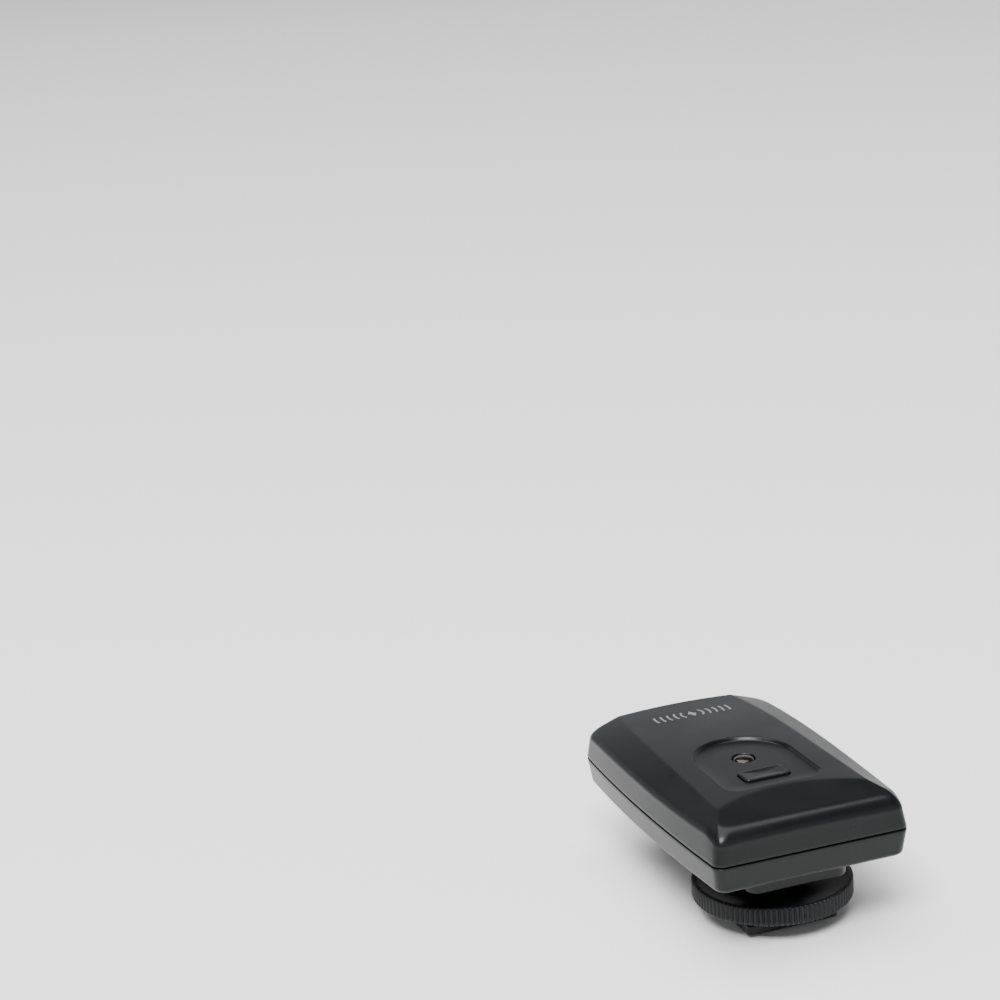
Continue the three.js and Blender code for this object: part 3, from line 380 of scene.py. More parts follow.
def quarter(steps):
    """Pairs that go round a quarter circle: how far in, 1 - cos, and how far up, sin."""
    bend = np.linspace(0, math.pi / 2, steps)
    return list(zip(1 - np.cos(bend), np.sin(bend)))


print("points in a test outline:", len(rounded_rectangle(5, 3, 1)))


# %% [markdown]
# ## The casing's form
# The roof is a crowned face. Two side bevels and an arched rear slope fall away from it. A hard
# maximum of those falls would give knife edges, and a mould never has them, so each fall starts
# softly over a fraction of a millimetre. These numbers are the design's own, in millimetres, and
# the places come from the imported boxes.

# %% Numbers of the casing
shell_low, shell_high = packed("top_shell")
SEAM = 0.3
TONGUE_HEIGHT = 0.8
REAR_Y = shell_low[1]
FRONT_BOW = 1.5
FRONT_Y = shell_high[1] - FRONT_BOW
LENGTH = FRONT_Y - REAR_Y
MIDDLE_Y = (REAR_Y + FRONT_Y) / 2
TOP_Z = shell_high[2]
BOTTOM_Z = packed("battery_door")[0][2]
LOWER_HEIGHT = 5.5
PARTING_Z = BOTTOM_Z + LOWER_HEIGHT
PLINTH_Z = packed("bottom_shell")[0][2]
REAR_HALF, FRONT_HALF, SIDE_BOW = 19.45, 20.1, 1.2
CORNER_RADII = [2, 2, 3, 3]
WALL, CEILING, DRAFT = 1.6, 1.5, 0.5
print("parting line at", round(PARTING_Z, 2), "and top at", round(TOP_Z, 2))


# %% Roof height
ROOF_HALF, CROWN, NOSE_FALL = 15.4, 0.3, 0.8
SLOPE_LENGTH, SLOPE_ARCH, SLOPE_FALL = 13.3, 4.8, 1.5
BLEND = 0.04


def soft_past(value, width):
    """How far a value is past zero, rounded off: width log(1 + exp(value / width))."""
    return width * np.logaddexp(0, value / width)


def roof(plan):
    """The roof's height over points in plan: the crowned face less the greater of the side
    bevels' fall and the rear slope's fall, each starting softly at its crease."""
    x, y = plan[:, 0], plan[:, 1]
    along = (y - REAR_Y) / LENGTH
    across = (x / ROOF_HALF) ** 2
    towards_front = np.clip((y - MIDDLE_Y) / (FRONT_Y - MIDDLE_Y), 0, None)
    face = TOP_Z - CROWN * across - NOSE_FALL * towards_front ** 2
    crease = ROOF_HALF - 1.8 * along - 1.5 * np.clip(along, 0, None) ** 8
    side_fall = (0.42 - 0.17 * along) * soft_past(np.abs(x) - crease, 0.1)
    arch = REAR_Y + SLOPE_LENGTH - SLOPE_ARCH * across
    rear_fall = SLOPE_FALL * soft_past(arch - y, 0.3) / (arch - REAR_Y)
    greater = BLEND * np.logaddexp(side_fall / BLEND, rear_fall / BLEND) - BLEND * math.log(2)
    return face - greater


def casing_outline(inset):
    """The casing's outline, drawn in by a distance."""
    return bowed_outline(
        REAR_HALF - inset, FRONT_HALF - inset, REAR_Y + inset, FRONT_Y - inset,
        SIDE_BOW, FRONT_BOW, CORNER_RADII)


def casing(inset, centre, angles):
    """The drawn-in outline met in these directions."""
    return at_angles(casing_outline(inset), centre, angles)


middle_of_roof = roof(np.array([[0.0, MIDDLE_Y]]))[0]
print("roof height in the middle:", round(middle_of_roof, 3))


# %% [markdown]
# ## Upper shell
# The shell is one injection moulding: a wall that leans in for the mould, a rounded edge, the
# roof, and a sunken panel with a round front, for the button and the lamp. All its loops are met
# from one point between the button and the lamp, so the roof runs from the casing's outline to
# the panel's without a break. The rounded edge is widest along the rear.

# %% Loops of the upper shell
UPPER_CENTRE = np.array([0.0, 6.0])
upper_angles = directions(casing_outline(0), UPPER_CENTRE, 620)
PANEL_HALF, PANEL_REAR_Y, PANEL_LENGTH, PANEL_DEPTH = 9.8, -4.4, 24.4, 0.7
PANEL_Z = TOP_Z - PANEL_DEPTH
SIDE_RADIUS, REAR_EXTRA = 1.1, 1.6
EDGE_BREAK = 0.15


def panel_outline(inset):
    """The sunken panel's outline, drawn in: straight across the rear and round at the front."""
    half, radius = PANEL_HALF - inset, 3 - inset / 2
    rear = PANEL_REAR_Y + inset
    round_y = PANEL_REAR_Y + PANEL_LENGTH - PANEL_HALF
    bend = np.linspace(0, math.pi / 2, 40)
    front = circle(half, np.linspace(0, math.pi, 260), (0, round_y))
    left = circle(radius, bend + math.pi, (-half + radius, rear + radius))
    right = circle(radius, bend - math.pi / 2, (half - radius, rear + radius))
    straight = np.linspace(0, 1, 80)[1:-1, None]
    pieces = [front, left, right]
    joined = []
    for one, following in zip(pieces, pieces[1:] + pieces[:1]):
        joined += [one, one[-1] + (following[0] - one[-1]) * straight]
    return np.vstack(joined)


def upper(inset):
    return casing(inset, UPPER_CENTRE, upper_angles)


def edge_radius(plan):
    """The rounded edge's radius: 1.1 mm along the sides, growing to 2.7 mm along the rear."""
    nearness = np.clip((REAR_Y + 5 - plan[:, 1]) / 4.5, 0, 1)
    return SIDE_RADIUS + REAR_EXTRA * nearness * nearness * (3 - 2 * nearness)


def upper_rows():
    """Loops from the middle of the ceiling out, down the inner wall, round the rim, up the outer
    wall, over the rounded edge and the roof, and down into the panel."""
    rim_z = PARTING_Z + SEAM / 2
    step_z = rim_z + TONGUE_HEIGHT
    inner = upper(WALL + DRAFT + 1)
    rows = [lift(UPPER_CENTRE + (inner - UPPER_CENTRE) * s, 0) for s in (0.1, 0.4, 0.7, 1)]
    for row in rows:
        row[:, 2] = np.minimum(roof(row[:, :2]), TOP_Z) - CEILING
    rows.append(lift(upper(WALL + DRAFT), roof(inner) - CEILING - 1))
    rows += [lift(upper(WALL), step_z), lift(upper(0.75), step_z), lift(upper(0.75), rim_z)]
    for across, up in quarter(4):
        rows.append(lift(upper(EDGE_BREAK * (1 - up)), rim_z + EDGE_BREAK * across))
    plan = upper(DRAFT)
    radius = edge_radius(plan)
    top_of_wall = roof(plan) - radius
    for s in np.linspace(0, 1, 9)[1:]:
        start = rim_z + EDGE_BREAK
        rows.append(lift(upper(DRAFT * s), start + (top_of_wall - start) * s))
    wide = upper(DRAFT + 3)
    inward = (wide - plan) / 3
    for across, up in quarter(14)[1:]:
        ring = plan + inward * (radius * across)[:, None]
        rows.append(lift(ring, roof(ring) - radius * (1 - up)))
    edge = rows[-1][:, :2]
    lip = at_angles(panel_outline(-0.25), UPPER_CENTRE, upper_angles)
    for s in np.linspace(0, 1, 72)[1:]:
        ring = edge + (lip - edge) * s
        rows.append(lift(ring, roof(ring)))
    foot = at_angles(panel_outline(0.5), UPPER_CENTRE, upper_angles)
    lip_z = roof(lip)
    for s in np.linspace(0, 1, 13)[1:]:
        share = s * s * (3 - 2 * s)
        rows.append(lift(lip + (foot - lip) * s, lip_z + (PANEL_Z - lip_z) * share))
    for s in (0.75, 0.5, 0.2):
        rows.append(lift(UPPER_CENTRE + (foot - UPPER_CENTRE) * s, PANEL_Z))
    return rows


shell_upper = skin("shell_upper", upper_rows())
print("upper shell before its holes:", len(shell_upper.data.polygons), "faces")


# %% [markdown]
# ## Holes in the shells
# The button and the lamp come up through the panel, the switch and the sync socket look out of
# the right side. Each hole is cut by a plug whose mouth is a little wider than the rest, which
# leaves the small broken edge that a mould gives, and that catches the light.

# %% Plugs
BUTTON_Y = sum(packed("test_button"))[1] / 2
LAMP_Y = sum(packed("status_lamp"))[1] / 2
LAMP_FLANGE = 0.4
LAMP_RADIUS = packed("status_lamp")[1][0] - LAMP_FLANGE
SOCKET_Y, SOCKET_Z = sum(packed("sync_socket_sleeve"))[1:] / 2
switch_low, switch_high = packed("channel_switch_body")
BUTTON_HALF_X, BUTTON_HALF_Y, BUTTON_RADIUS = 4.6, 2.2, 0.9
round_angles = np.linspace(0, 2 * math.pi, 64, endpoint=False)
button_angles = directions(
    rounded_rectangle(BUTTON_HALF_X, BUTTON_HALF_Y, BUTTON_RADIUS), np.zeros(2), 120)


def button_plan(grow):
    """The button's outline grown by a distance, at its place."""
    outline = rounded_rectangle(
        BUTTON_HALF_X + grow, BUTTON_HALF_Y + grow, BUTTON_RADIUS + grow)
    return at_angles(outline, np.zeros(2), button_angles) + (0, BUTTON_Y)


def along_x(x, y, z, radius):
    """A circle that stands square to X."""
    return np.column_stack([
        np.full(64, x), y + radius * np.cos(round_angles), z + radius * np.sin(round_angles)])


def button_plug():
    rows = [lift(button_plan(0.25), PANEL_Z - 5), lift(button_plan(0.25), PANEL_Z - 0.12),
            lift(button_plan(0.37), PANEL_Z), lift(button_plan(0.9), PANEL_Z + 0.5)]
    return skin("button_plug", rows, "flat")


def lamp_plug():
    steps = ((0.2, -5), (0.2, -0.12), (0.32, 0), (0.8, 0.45))
    rows = [lift(circle(LAMP_RADIUS + grow, round_angles, (0, LAMP_Y)), PANEL_Z + z)
            for grow, z in steps]
    return skin("lamp_plug", rows, "flat")


def socket_plug():
    steps = ((REAR_HALF - 4, 2.8), (REAR_HALF + 0.55, 2.8), (REAR_HALF + 5, 7.25))
    return skin("socket_plug", [along_x(x, SOCKET_Y, SOCKET_Z, r) for x, r in steps], "flat")


def window_plug():
    """The switch's window: a rounded oblong that widens a little at the outside."""
    middle_y = (switch_low[1] + switch_high[1]) / 2
    middle_z = switch_low[2] + 3.3
    half_y, half_z = (switch_high[1] - switch_low[1]) / 2 - 0.5, 1.75
    rows = []
    for x, grow in ((switch_high[0] - 1.5, 0), (REAR_HALF + 1.0, 0), (REAR_HALF + 5, 3)):
        loop = at_angles(
            rounded_rectangle(half_y + grow, half_z + grow, 0.3 + grow), np.zeros(2), round_angles)
        rows.append(np.column_stack([np.full(64, x), loop[:, 0] + middle_y, loop[:, 1] + middle_z]))
    return skin("window_plug", rows, "flat")


carve(shell_upper, [button_plug(), lamp_plug(), socket_plug(), window_plug()])
print("upper shell with its holes:", len(shell_upper.data.polygons), "faces")


# %% [markdown]
# ## Moulded ABS
# The shells are ABS moulded against spark-eroded steel. That process leaves a fine, even grain,
# so the gloss is satin and breaks up over tiny pits. ABS has an IOR of about 1.54. The real
# grain is near 0.1 mm, which is too fine to show, so it is drawn four times as coarse. A slow
# change of roughness stands for handling.

# %% Material of the shells
def spark_eroded_plastic(name, base, rough_low, rough_high, grain_mm, depth_mm, mottle=0.15):
    """A matt to satin plastic: base colour with a faint mottle, roughness that drifts over
    centimetres, and a bump of noise whose grains are grain_mm wide and depth_mm deep."""
    material, tree = new_tree(name)
    place = add_node(tree, "ShaderNodeTexCoord")
    grain = add_node(tree, "ShaderNodeTexNoise", {
        "Vector": place.outputs["Object"], "Scale": per_metre(grain_mm), "Detail": 1.0})
    drift = add_node(tree, "ShaderNodeTexNoise", {
        "Vector": place.outputs["Object"], "Scale": per_metre(11), "Detail": 2.0})
    rough = add_node(tree, "ShaderNodeMapRange", {
        "Value": drift.outputs["Fac"], "From Min": 0.3, "From Max": 0.7,
        "To Min": rough_low, "To Max": rough_high})
    tint = add_node(
        tree, "ShaderNodeMix", {"Factor": grain.outputs["Fac"]}, data_type="RGBA", blend_type="MIX")
    pale = [min(1, c * (1 + 2 * mottle)) for c in colour(base)[:3]]
    dark = [c * (1 - mottle) for c in colour(base)[:3]]
    tint.inputs[6].default_value = (*dark, 1)
    tint.inputs[7].default_value = (*pale, 1)
    bump = add_node(tree, "ShaderNodeBump", {
        "Height": grain.outputs["Fac"], "Strength": 1.0, "Distance": depth_mm * MM})
    shader = add_node(tree, "ShaderNodeBsdfPrincipled", {
        "Base Color": tint.outputs[2], "Roughness": rough.outputs["Result"],
        "Normal": bump.outputs["Normal"], "IOR": 1.54, "Specular IOR Level": 0.2})
    set_surface(tree, shader)
    return material


abs_shell = spark_eroded_plastic("abs_spark_eroded", SHELL_BLACK, 0.27, 0.33, 0.4, 0.003)
hand_over(shell_upper, abs_shell, "housing", ["top_shell"])


# %% [markdown]
# ## Lower shell
# The lower shell is a shallow tray with a plinth under it, and the plinth carries the foot. The
# skin is a ring: from the bore of the foot out over the plinth, up the casing's wall, over the
# tongue at the parting line and back down inside. The tongue stands inside the upper shell, and
# it keeps light out of the seam.

# %% Loops of the lower shell
FOOT_CENTRE = np.zeros(2)
lower_angles = directions(casing_outline(0), FOOT_CENTRE, 480)
PLINTH_HALF_X, PLINTH_HALF_Y, PLINTH_RADIUS = 10.2, 12.6, 2.5
BORE_RADIUS = 6.2
FLOOR_Z = BOTTOM_Z + WALL


def lower(inset):
    return casing(inset, FOOT_CENTRE, lower_angles)


def plinth(inset):
    outline = rounded_rectangle(
        PLINTH_HALF_X - inset, PLINTH_HALF_Y - inset, PLINTH_RADIUS - inset / 2)
    return at_angles(outline, FOOT_CENTRE, lower_angles)


BOTTOM_RADIUS = 1.1


def outer_wall_rows(shape):
    """The lower casing's outside from its flat underside, round the bottom edge and up the
    leaning wall to the parting line, whose edge is broken by 0.15 mm."""
    rim_z = PARTING_Z - SEAM / 2
    rows = [lift(shape(DRAFT + 1.15 - BOTTOM_RADIUS * up), BOTTOM_Z + BOTTOM_RADIUS * across)
            for across, up in quarter(9)]
    for s in np.linspace(0, 1, 7)[1:]:
        z = BOTTOM_Z + BOTTOM_RADIUS + (rim_z - EDGE_BREAK - BOTTOM_Z - BOTTOM_RADIUS) * s
        rows.append(lift(shape((DRAFT + 0.05) * (1 - s)), z))
    rows += [lift(shape(EDGE_BREAK * across), rim_z - EDGE_BREAK * (1 - up))
             for across, up in quarter(4)[1:]]
    return rows


def lower_rows():
    bore = circle(BORE_RADIUS, lower_angles)
    rows = [lift(circle(BORE_RADIUS + 0.2, lower_angles), PLINTH_Z)]
    rows += [lift(plinth(0.5 * (1 - up)), PLINTH_Z + 0.5 * across) for across, up in quarter(6)]
    rows += [lift(plinth(-0.6 * across), BOTTOM_Z - 0.6 * (1 - up)) for across, up in quarter(6)]
    rows += outer_wall_rows(lower)
    tongue_z = PARTING_Z - SEAM / 2 + TONGUE_HEIGHT
    rows += [lift(lower(0.9), PARTING_Z - SEAM / 2), lift(lower(0.9), tongue_z - 0.1)]
    rows += [lift(lower(1.0), tongue_z), lift(lower(WALL), tongue_z)]
    rows += [lift(lower(WALL), PARTING_Z), lift(lower(WALL + DRAFT), FLOOR_Z)]
    rows += [lift(plinth(WALL), FLOOR_Z), lift(plinth(WALL), PLINTH_Z + WALL)]
    rows += [lift(bore, PLINTH_Z + WALL), lift(bore, PLINTH_Z + 0.2)]
    return rows


shell_lower = skin("shell_lower", lower_rows(), "ring")
print("lower shell before its cuts:", len(shell_lower.data.polygons), "faces")


# %% [markdown]
# ## Battery door
# The door is the front part of the underside, which slides forwards out of a dovetail. Door and
# tray come from the same outer form: the door is the form inside the dovetail, and the tray is
# the form outside a slightly larger one. So their outsides run on without a step.

# %% Door, bay and screw holes
DOOR_HALF, DOOR_DOVETAIL, DOOR_THICKNESS = 15.6, 0.7, 1.0
DOOR_REAR_Y = packed("battery_door")[0][1]
cell_low, cell_high = packed("battery_cell")
DOOR_CENTRE = np.array([0.0, MIDDLE_Y])
door_angles = directions(casing_outline(0), DOOR_CENTRE, 480)


def dovetail(grow, rear_y):
    """The dovetail's section, carried along Y and out through the front."""
    bottom, top = DOOR_HALF + grow, DOOR_HALF + DOOR_DOVETAIL + grow
    high = BOTTOM_Z + DOOR_THICKNESS + grow / 2
    section = np.array([(-bottom, BOTTOM_Z - 1), (bottom, BOTTOM_Z - 1), (bottom, BOTTOM_Z),
                        (top, high), (-top, high), (-bottom, BOTTOM_Z)])
    rows = [np.column_stack([section[:, 0], np.full(6, y), section[:, 1]])
            for y in (rear_y, FRONT_Y + 8)]
    return skin("dovetail", rows, "flat")


def block(x0, x1, y0, y1, z0, z1):
    """A plain box to cut with."""
    loop = np.array([(x0, y0), (x1, y0), (x1, y1), (x0, y1)], float)
    return skin("block", [lift(loop, z0), lift(loop, z1)], "flat")


def hole(x, y, steps):
    """A round plug through (radius, height) steps."""
    return skin("hole", [lift(circle(r, round_angles, (x, y)), z) for r, z in steps], "flat")


def casing_screw_places():
    names = ["rear_left", "rear_right", "front_left", "front_right"]
    return {name: sum(packed("casing_screw_" + name))[:2] / 2 for name in names}


def cell_mouth():
    """The opening in the floor of the bay, which the cell goes in through."""
    return block(cell_low[0] - 3.8, cell_high[0] + 1, cell_low[1] - 0.4, cell_high[1] + 0.4,
                 BOTTOM_Z + DOOR_THICKNESS, FLOOR_Z + 1)


cuts = [dovetail(0.3, DOOR_REAR_Y - 0.3), cell_mouth(), socket_plug()]
for x, y in casing_screw_places().values():
    cuts.append(hole(x, y, ((2.45, BOTTOM_Z - 1), (2.45, BOTTOM_Z - 0.01), (2.2, BOTTOM_Z + 0.24),
                            (2.2, FLOOR_Z + 1))))
carve(shell_lower, cuts)
hand_over(shell_lower, abs_shell, "housing", ["bottom_shell"])

# %% The sliding door
def form(inset):
    return casing(inset, DOOR_CENTRE, door_angles)


def grip_groove(row):
    """A shallow round-bottomed groove across the door, a flattened rod along X."""
    y = DOOR_REAR_Y + 3.3 + 1.4 * row
    steps = ((-5.3, 0.05), (-5, 0.38), (5, 0.38), (5.3, 0.05))
    return skin("groove", [along_x(x, y, BOTTOM_Z - 0.08, r) for x, r in steps], "flat")


door_rows = [lift(DOOR_CENTRE + (form(DRAFT + 1.15) - DOOR_CENTRE) * 0.5, BOTTOM_Z)]
door_rows += outer_wall_rows(form) + [lift(form(3), PARTING_Z - SEAM / 2)]
door = skin("door_sliding", door_rows)
carve(door, [dovetail(0, DOOR_REAR_Y)], "INTERSECT")
carve(door, [grip_groove(row) for row in range(3)])
hand_over(door, abs_shell, "battery_door", ["battery_door"])


# %% [markdown]
# ## Test button
# The button is a small cap in the same black, moulded in a polished cavity, so it is glossier
# than the shell. Its top is dished by a tenth of a millimetre for the finger, and its edge is
# rounded just enough to draw a bright line. A flange under the panel keeps it in.

# %% Button cap
button_low, button_high = packed("test_button")
flange_z = TOP_Z - CEILING - 0.3


def button_rows():
    """Loops from the foot of the stem, out over the flange, up the cap and over its dished top:
    the top is lower by 0.12 (1 - s^2), where s is 1 at the edge."""
    stem = circle(1.4, button_angles, (0, BUTTON_Y))
    rows = [lift(stem, button_low[2]), lift(stem, flange_z - 0.8)]
    rows += [lift(button_plan(0.9), flange_z - 0.8), lift(button_plan(0.9), flange_z)]
    rows += [lift(button_plan(0), flange_z)]
    rows += [lift(button_plan(-0.3 * across), button_high[2] - 0.3 * (1 - up))
             for across, up in quarter(8)]
    edge = button_plan(-0.3)
    middle = np.array([0, BUTTON_Y])
    for s in (0.9, 0.75, 0.5, 0.2):
        rows.append(lift(middle + (edge - middle) * s, button_high[2] - 0.12 * (1 - s * s)))
    return rows


abs_polished = spark_eroded_plastic("abs_polished_cap", "#0f1112", 0.22, 0.27, 0.5, 0.002)
button_cap = skin("button_cap", button_rows())
hand_over(button_cap, abs_polished, "test_button", ["test_button"])


# %% [markdown]
# ## Status lamp
# The lamp is a moulded epoxy body with a low dome. The epoxy is tinted smoky purple, and it is
# clear enough to show the bright cup that the chip sits in. Epoxy has an IOR of 1.5. The cup is
# a separate piece inside, because only a real shape gives sparkles that move with the view.

# %% Lamp body and its cup
lamp_low, lamp_high = packed("status_lamp")


def turned_rows(steps, centre=(0, 0), angles=round_angles):
    """Loops of a turned shape from (radius, height) steps."""
    return [lift(circle(radius, angles, centre), z) for radius, z in steps]


def lamp_steps():
    """A flange, a straight side and a dome: over the last 0.75 mm the height rises by the square
    root of 1 - (r / R)^2."""
    base, top = lamp_low[2], lamp_high[2]
    foot = LAMP_RADIUS + LAMP_FLANGE
    steps = [(1.5, base), (foot, base), (foot, base + 1), (LAMP_RADIUS, base + 1)]
    for angle in np.linspace(0, math.pi / 2 - 0.1, 11):
        steps.append((LAMP_RADIUS * math.cos(angle), top - 0.75 + 0.74 * math.sin(angle)))
    return steps


def epoxy_material():
    material, tree = new_tree("epoxy_smoky_lens")
    shader = add_node(tree, "ShaderNodeBsdfPrincipled", {
        "Base Color": colour("#4f363c"), "Roughness": 0.06, "IOR": 1.5,
        "Transmission Weight": 0.9})
    set_surface(tree, shader)
    return material


lamp = skin("lamp_epoxy_body", turned_rows(lamp_steps(), (0, LAMP_Y)))
hand_over(lamp, epoxy_material(), "housing", ["status_lamp"])


# %% Cup inside the lamp
def cup_rows():
    """A thin cup on a post: up outside, over the rim, down the cone inside to the chip."""
    top = lamp_high[2] - 0.9
    steps = [(0.3, top - 3), (0.45, top - 3), (0.45, top - 1.3), (1.35, top - 0.9), (1.5, top),
             (1.38, top), (0.6, top - 0.75), (0.3, top - 0.75), (0.3, top - 0.5), (0.1, top - 0.5)]
    return turned_rows(steps, (-0.5, LAMP_Y))


def bright_metal(name, base, roughness, grain_mm=0.4, depth_mm=0.002):
    """A plated or drawn metal: fully metallic, with a fine uneven bump that breaks its gloss."""
    material, tree = new_tree(name)
    place = add_node(tree, "ShaderNodeTexCoord")
    grain = add_node(tree, "ShaderNodeTexNoise", {
        "Vector": place.outputs["Object"], "Scale": per_metre(grain_mm), "Detail": 4.0})
    rough = add_node(tree, "ShaderNodeMapRange", {
        "Value": grain.outputs["Fac"], "To Min": roughness * 0.7, "To Max": roughness * 1.3})
    bump = add_node(tree, "ShaderNodeBump", {
        "Height": grain.outputs["Fac"], "Strength": 1.0, "Distance": depth_mm * MM})
    shader = add_node(tree, "ShaderNodeBsdfPrincipled", {
        "Base Color": colour(base), "Metallic": 1.0, "Roughness": rough.outputs["Result"],
        "Normal": bump.outputs["Normal"]})
    set_surface(tree, shader)
    return material


nickel = bright_metal("nickel_plated_steel", "#c8c4bc", 0.28)
lamp_cup = skin("lamp_reflector_cup", cup_rows())
# The cup's silver is given a darker grey-brown than plated metal: painted shade that dims its
# sparkles inside the lamp.
dimmed_cup_silver = bright_metal("silver_plated_leadframe", "#8a7f7b", 0.34)
hand_over(lamp_cup, dimmed_cup_silver, "housing")


# %% [markdown]
# ## Knurled locking ring
# The ring is turned by finger and thumb, so its rim has 96 straight teeth, about 1 mm apart. Each
# tooth is a rounded ridge: the radius falls by the tooth depth times 1 - w^0.7, where w goes from
# 0 in the valleys to 1 on the crests. At the top and bottom edges the teeth run out in a small
# chamfer, and their ends catch the light one by one.

# %% Ring
ring_low, ring_high = packed("locking_ring")
RING_RADIUS = ring_high[0]
TEETH, TOOTH_DEPTH = 96, 0.42
knurl_angles = np.linspace(0, 2 * math.pi, TEETH * 9, endpoint=False)


def knurled_loop(radius, z, amount):
    """A circle at a height, with the teeth cut to a share of their full depth."""
    wave = 0.5 + 0.5 * np.cos(TEETH * knurl_angles)
    depth = TOOTH_DEPTH * amount * (1 - wave ** 0.7)
    return np.column_stack([
        (radius - depth) * np.cos(knurl_angles), (radius - depth) * np.sin(knurl_angles),
        np.full(len(knurl_angles), z)])


def ring_rows():
    bottom, top, out = ring_low[2], ring_high[2], RING_RADIUS
    washer_z = packed("pressure_washer")[1][2] + 0.3
    steps = [(12.1, washer_z, 0), (12.1, bottom + 0.15, 0), (12.25, bottom, 0),
             (out - 0.7, bottom, 0), (out - 0.25, bottom + 0.1, 0.5), (out, bottom + 0.35, 1),
             (out, top - 0.3, 1), (out - 0.08, top - 0.12, 1), (out - 0.25, top - 0.02, 0.8),
             (out - 0.45, top, 0.4), (out - 0.8, top, 0), (out - 1.1, top - 0.03, 0),
             (out - 1.4, top - 0.25, 0), (8.5, top - 0.25, 0), (8.2, top, 0), (6.5, top, 0),
             (6.2, top - 0.3, 0), (6.2, washer_z, 0)]
    return [knurled_loop(*step) for step in steps]


nylon_black = spark_eroded_plastic("nylon_moulded", "#0c0e10", 0.34, 0.44, 0.35, 0.008)
ring = skin("ring_knurled", ring_rows(), "ring")
hand_over(ring, nylon_black, "locking_ring", ["locking_ring"], crease=50)


# %% [markdown]
# ## Foot: stem, plate, washer and contact
# The stem carries the ring's thread. Its surface is a cylinder whose radius dips once for each
# millimetre of height and once for each turn, and that is what a single-start thread is. The
# plate under it is the standard shoe, with broken edges so that it slides in. The sprung pin in
# its middle carries the trigger signal.

# %% Threaded stem
stem_low, stem_high = packed("threaded_stem")
STEM_RADIUS = stem_high[0]
THREAD_PITCH, THREAD_DEPTH = 1.0, 0.42
stem_angles = np.linspace(0, 2 * math.pi, 72, endpoint=False)


def thread_loop(z):
    """Radius R - depth * v, where v is a wave of (height / pitch - angle / full turn), and the
    wave is 0 on the crest and 1 in the root."""
    phase = z / THREAD_PITCH - stem_angles / (2 * math.pi)
    dip = np.clip(0.5 - 0.75 * np.cos(2 * math.pi * phase), 0, 1)
    radius = STEM_RADIUS - THREAD_DEPTH * dip
    return np.column_stack([radius * np.cos(stem_angles), radius * np.sin(stem_angles),
                            np.full(len(stem_angles), z)])


def stem_rows():
    low, high = stem_low[2], stem_high[2]
    rows = [lift(circle(1.9, stem_angles), low), lift(circle(STEM_RADIUS - 0.5, stem_angles), low)]
    rows += [thread_loop(z) for z in np.arange(low + 0.05, high - 0.04, 0.1)]
    rows += [lift(circle(STEM_RADIUS - 0.5, stem_angles), high)]
    rows += [lift(circle(1.9, stem_angles), high)]
    return rows


stem = skin("stem_threaded", stem_rows(), "ring")
hand_over(stem, nylon_black, "housing", ["threaded_stem"])

# %% Shoe plate
plate_low, plate_high = packed("shoe_plate")
plate_angles = directions(
    rounded_rectangle(plate_high[0], plate_high[1], 0.8), np.zeros(2), 320)


def plate(inset):
    outline = rounded_rectangle(plate_high[0] - inset, plate_high[1] - inset, 0.8)
    return at_angles(outline, np.zeros(2), plate_angles)


def plate_rows():
    low, high = plate_low[2], plate_high[2]
    rows = [lift(circle(1.3, plate_angles), low + 0.1), lift(circle(1.4, plate_angles), low)]
    rows += [lift(plate(0.3 * (1 - up)), low + 0.3 * across) for across, up in quarter(5)]
    rows += [lift(plate(0.3 * across), high - 0.3 * (1 - up)) for across, up in quarter(5)]
    rows += [lift(circle(1.9, plate_angles), high), lift(circle(1.9, plate_angles), low + 0.8)]
    rows += [lift(circle(1.3, plate_angles), low + 0.8)]
    return rows


leaf_low, leaf_high = packed("ground_contact_leaf")
foot = skin("foot_shoe_plate", plate_rows(), "ring")
leaf_slot = block(leaf_low[0] - 0.3, leaf_high[0] + 1, leaf_low[1] - 0.3, leaf_high[1] + 0.3,
                  leaf_low[2] - 0.2, leaf_high[2] + 0.2)
carve(foot, [leaf_slot])
hand_over(foot, nylon_black, "housing", ["shoe_plate"])

# %% Pressure washer and contact pin
washer_low, washer_high = packed("pressure_washer")
fine_angles = np.linspace(0, 2 * math.pi, 128, endpoint=False)


def washer_rows():
    low, high, out = washer_low[2], washer_high[2], washer_high[0]
    steps = [(6.2, low + 0.1), (6.3, low), (out - 0.2, low), (out, low + 0.2), (out, high - 0.1),
             (out - 0.1, high), (6.2, high)]
    return turned_rows(steps, angles=fine_angles)


def pin_rows():
    """A rounded tip, the shank, the flange that keeps it in, and the tail inside the spring."""
    low, high = (corner[2] for corner in packed("centre_contact_pin"))
    steps = [(0.2, low + 0.01), (0.5, low + 0.04), (0.8, low + 0.15), (0.95, low + 0.32),
             (1.0, low + 0.5), (1.0, 1.0), (1.5, 1.0), (1.5, 1.8), (0.6, 1.8), (0.6, high)]
    return turned_rows(steps)


gold = bright_metal("gold_plated_brass", "#d8b26a", 0.22)
washer = skin("washer_pressure", washer_rows(), "ring")
hand_over(washer, nylon_black, "pressure_washer", ["pressure_washer"])
pin = skin("pin_centre_contact", pin_rows())
hand_over(pin, gold, "contact_pin", ["centre_contact_pin"])


# %% [markdown]
# ## Contact spring
# The coil stands between the pin's flange and the casing.

# %% Spring behind the contact pin
SPRING_WIRE, SPRING_TURNS, PIN_STROKE = 0.16, 6, 0.7


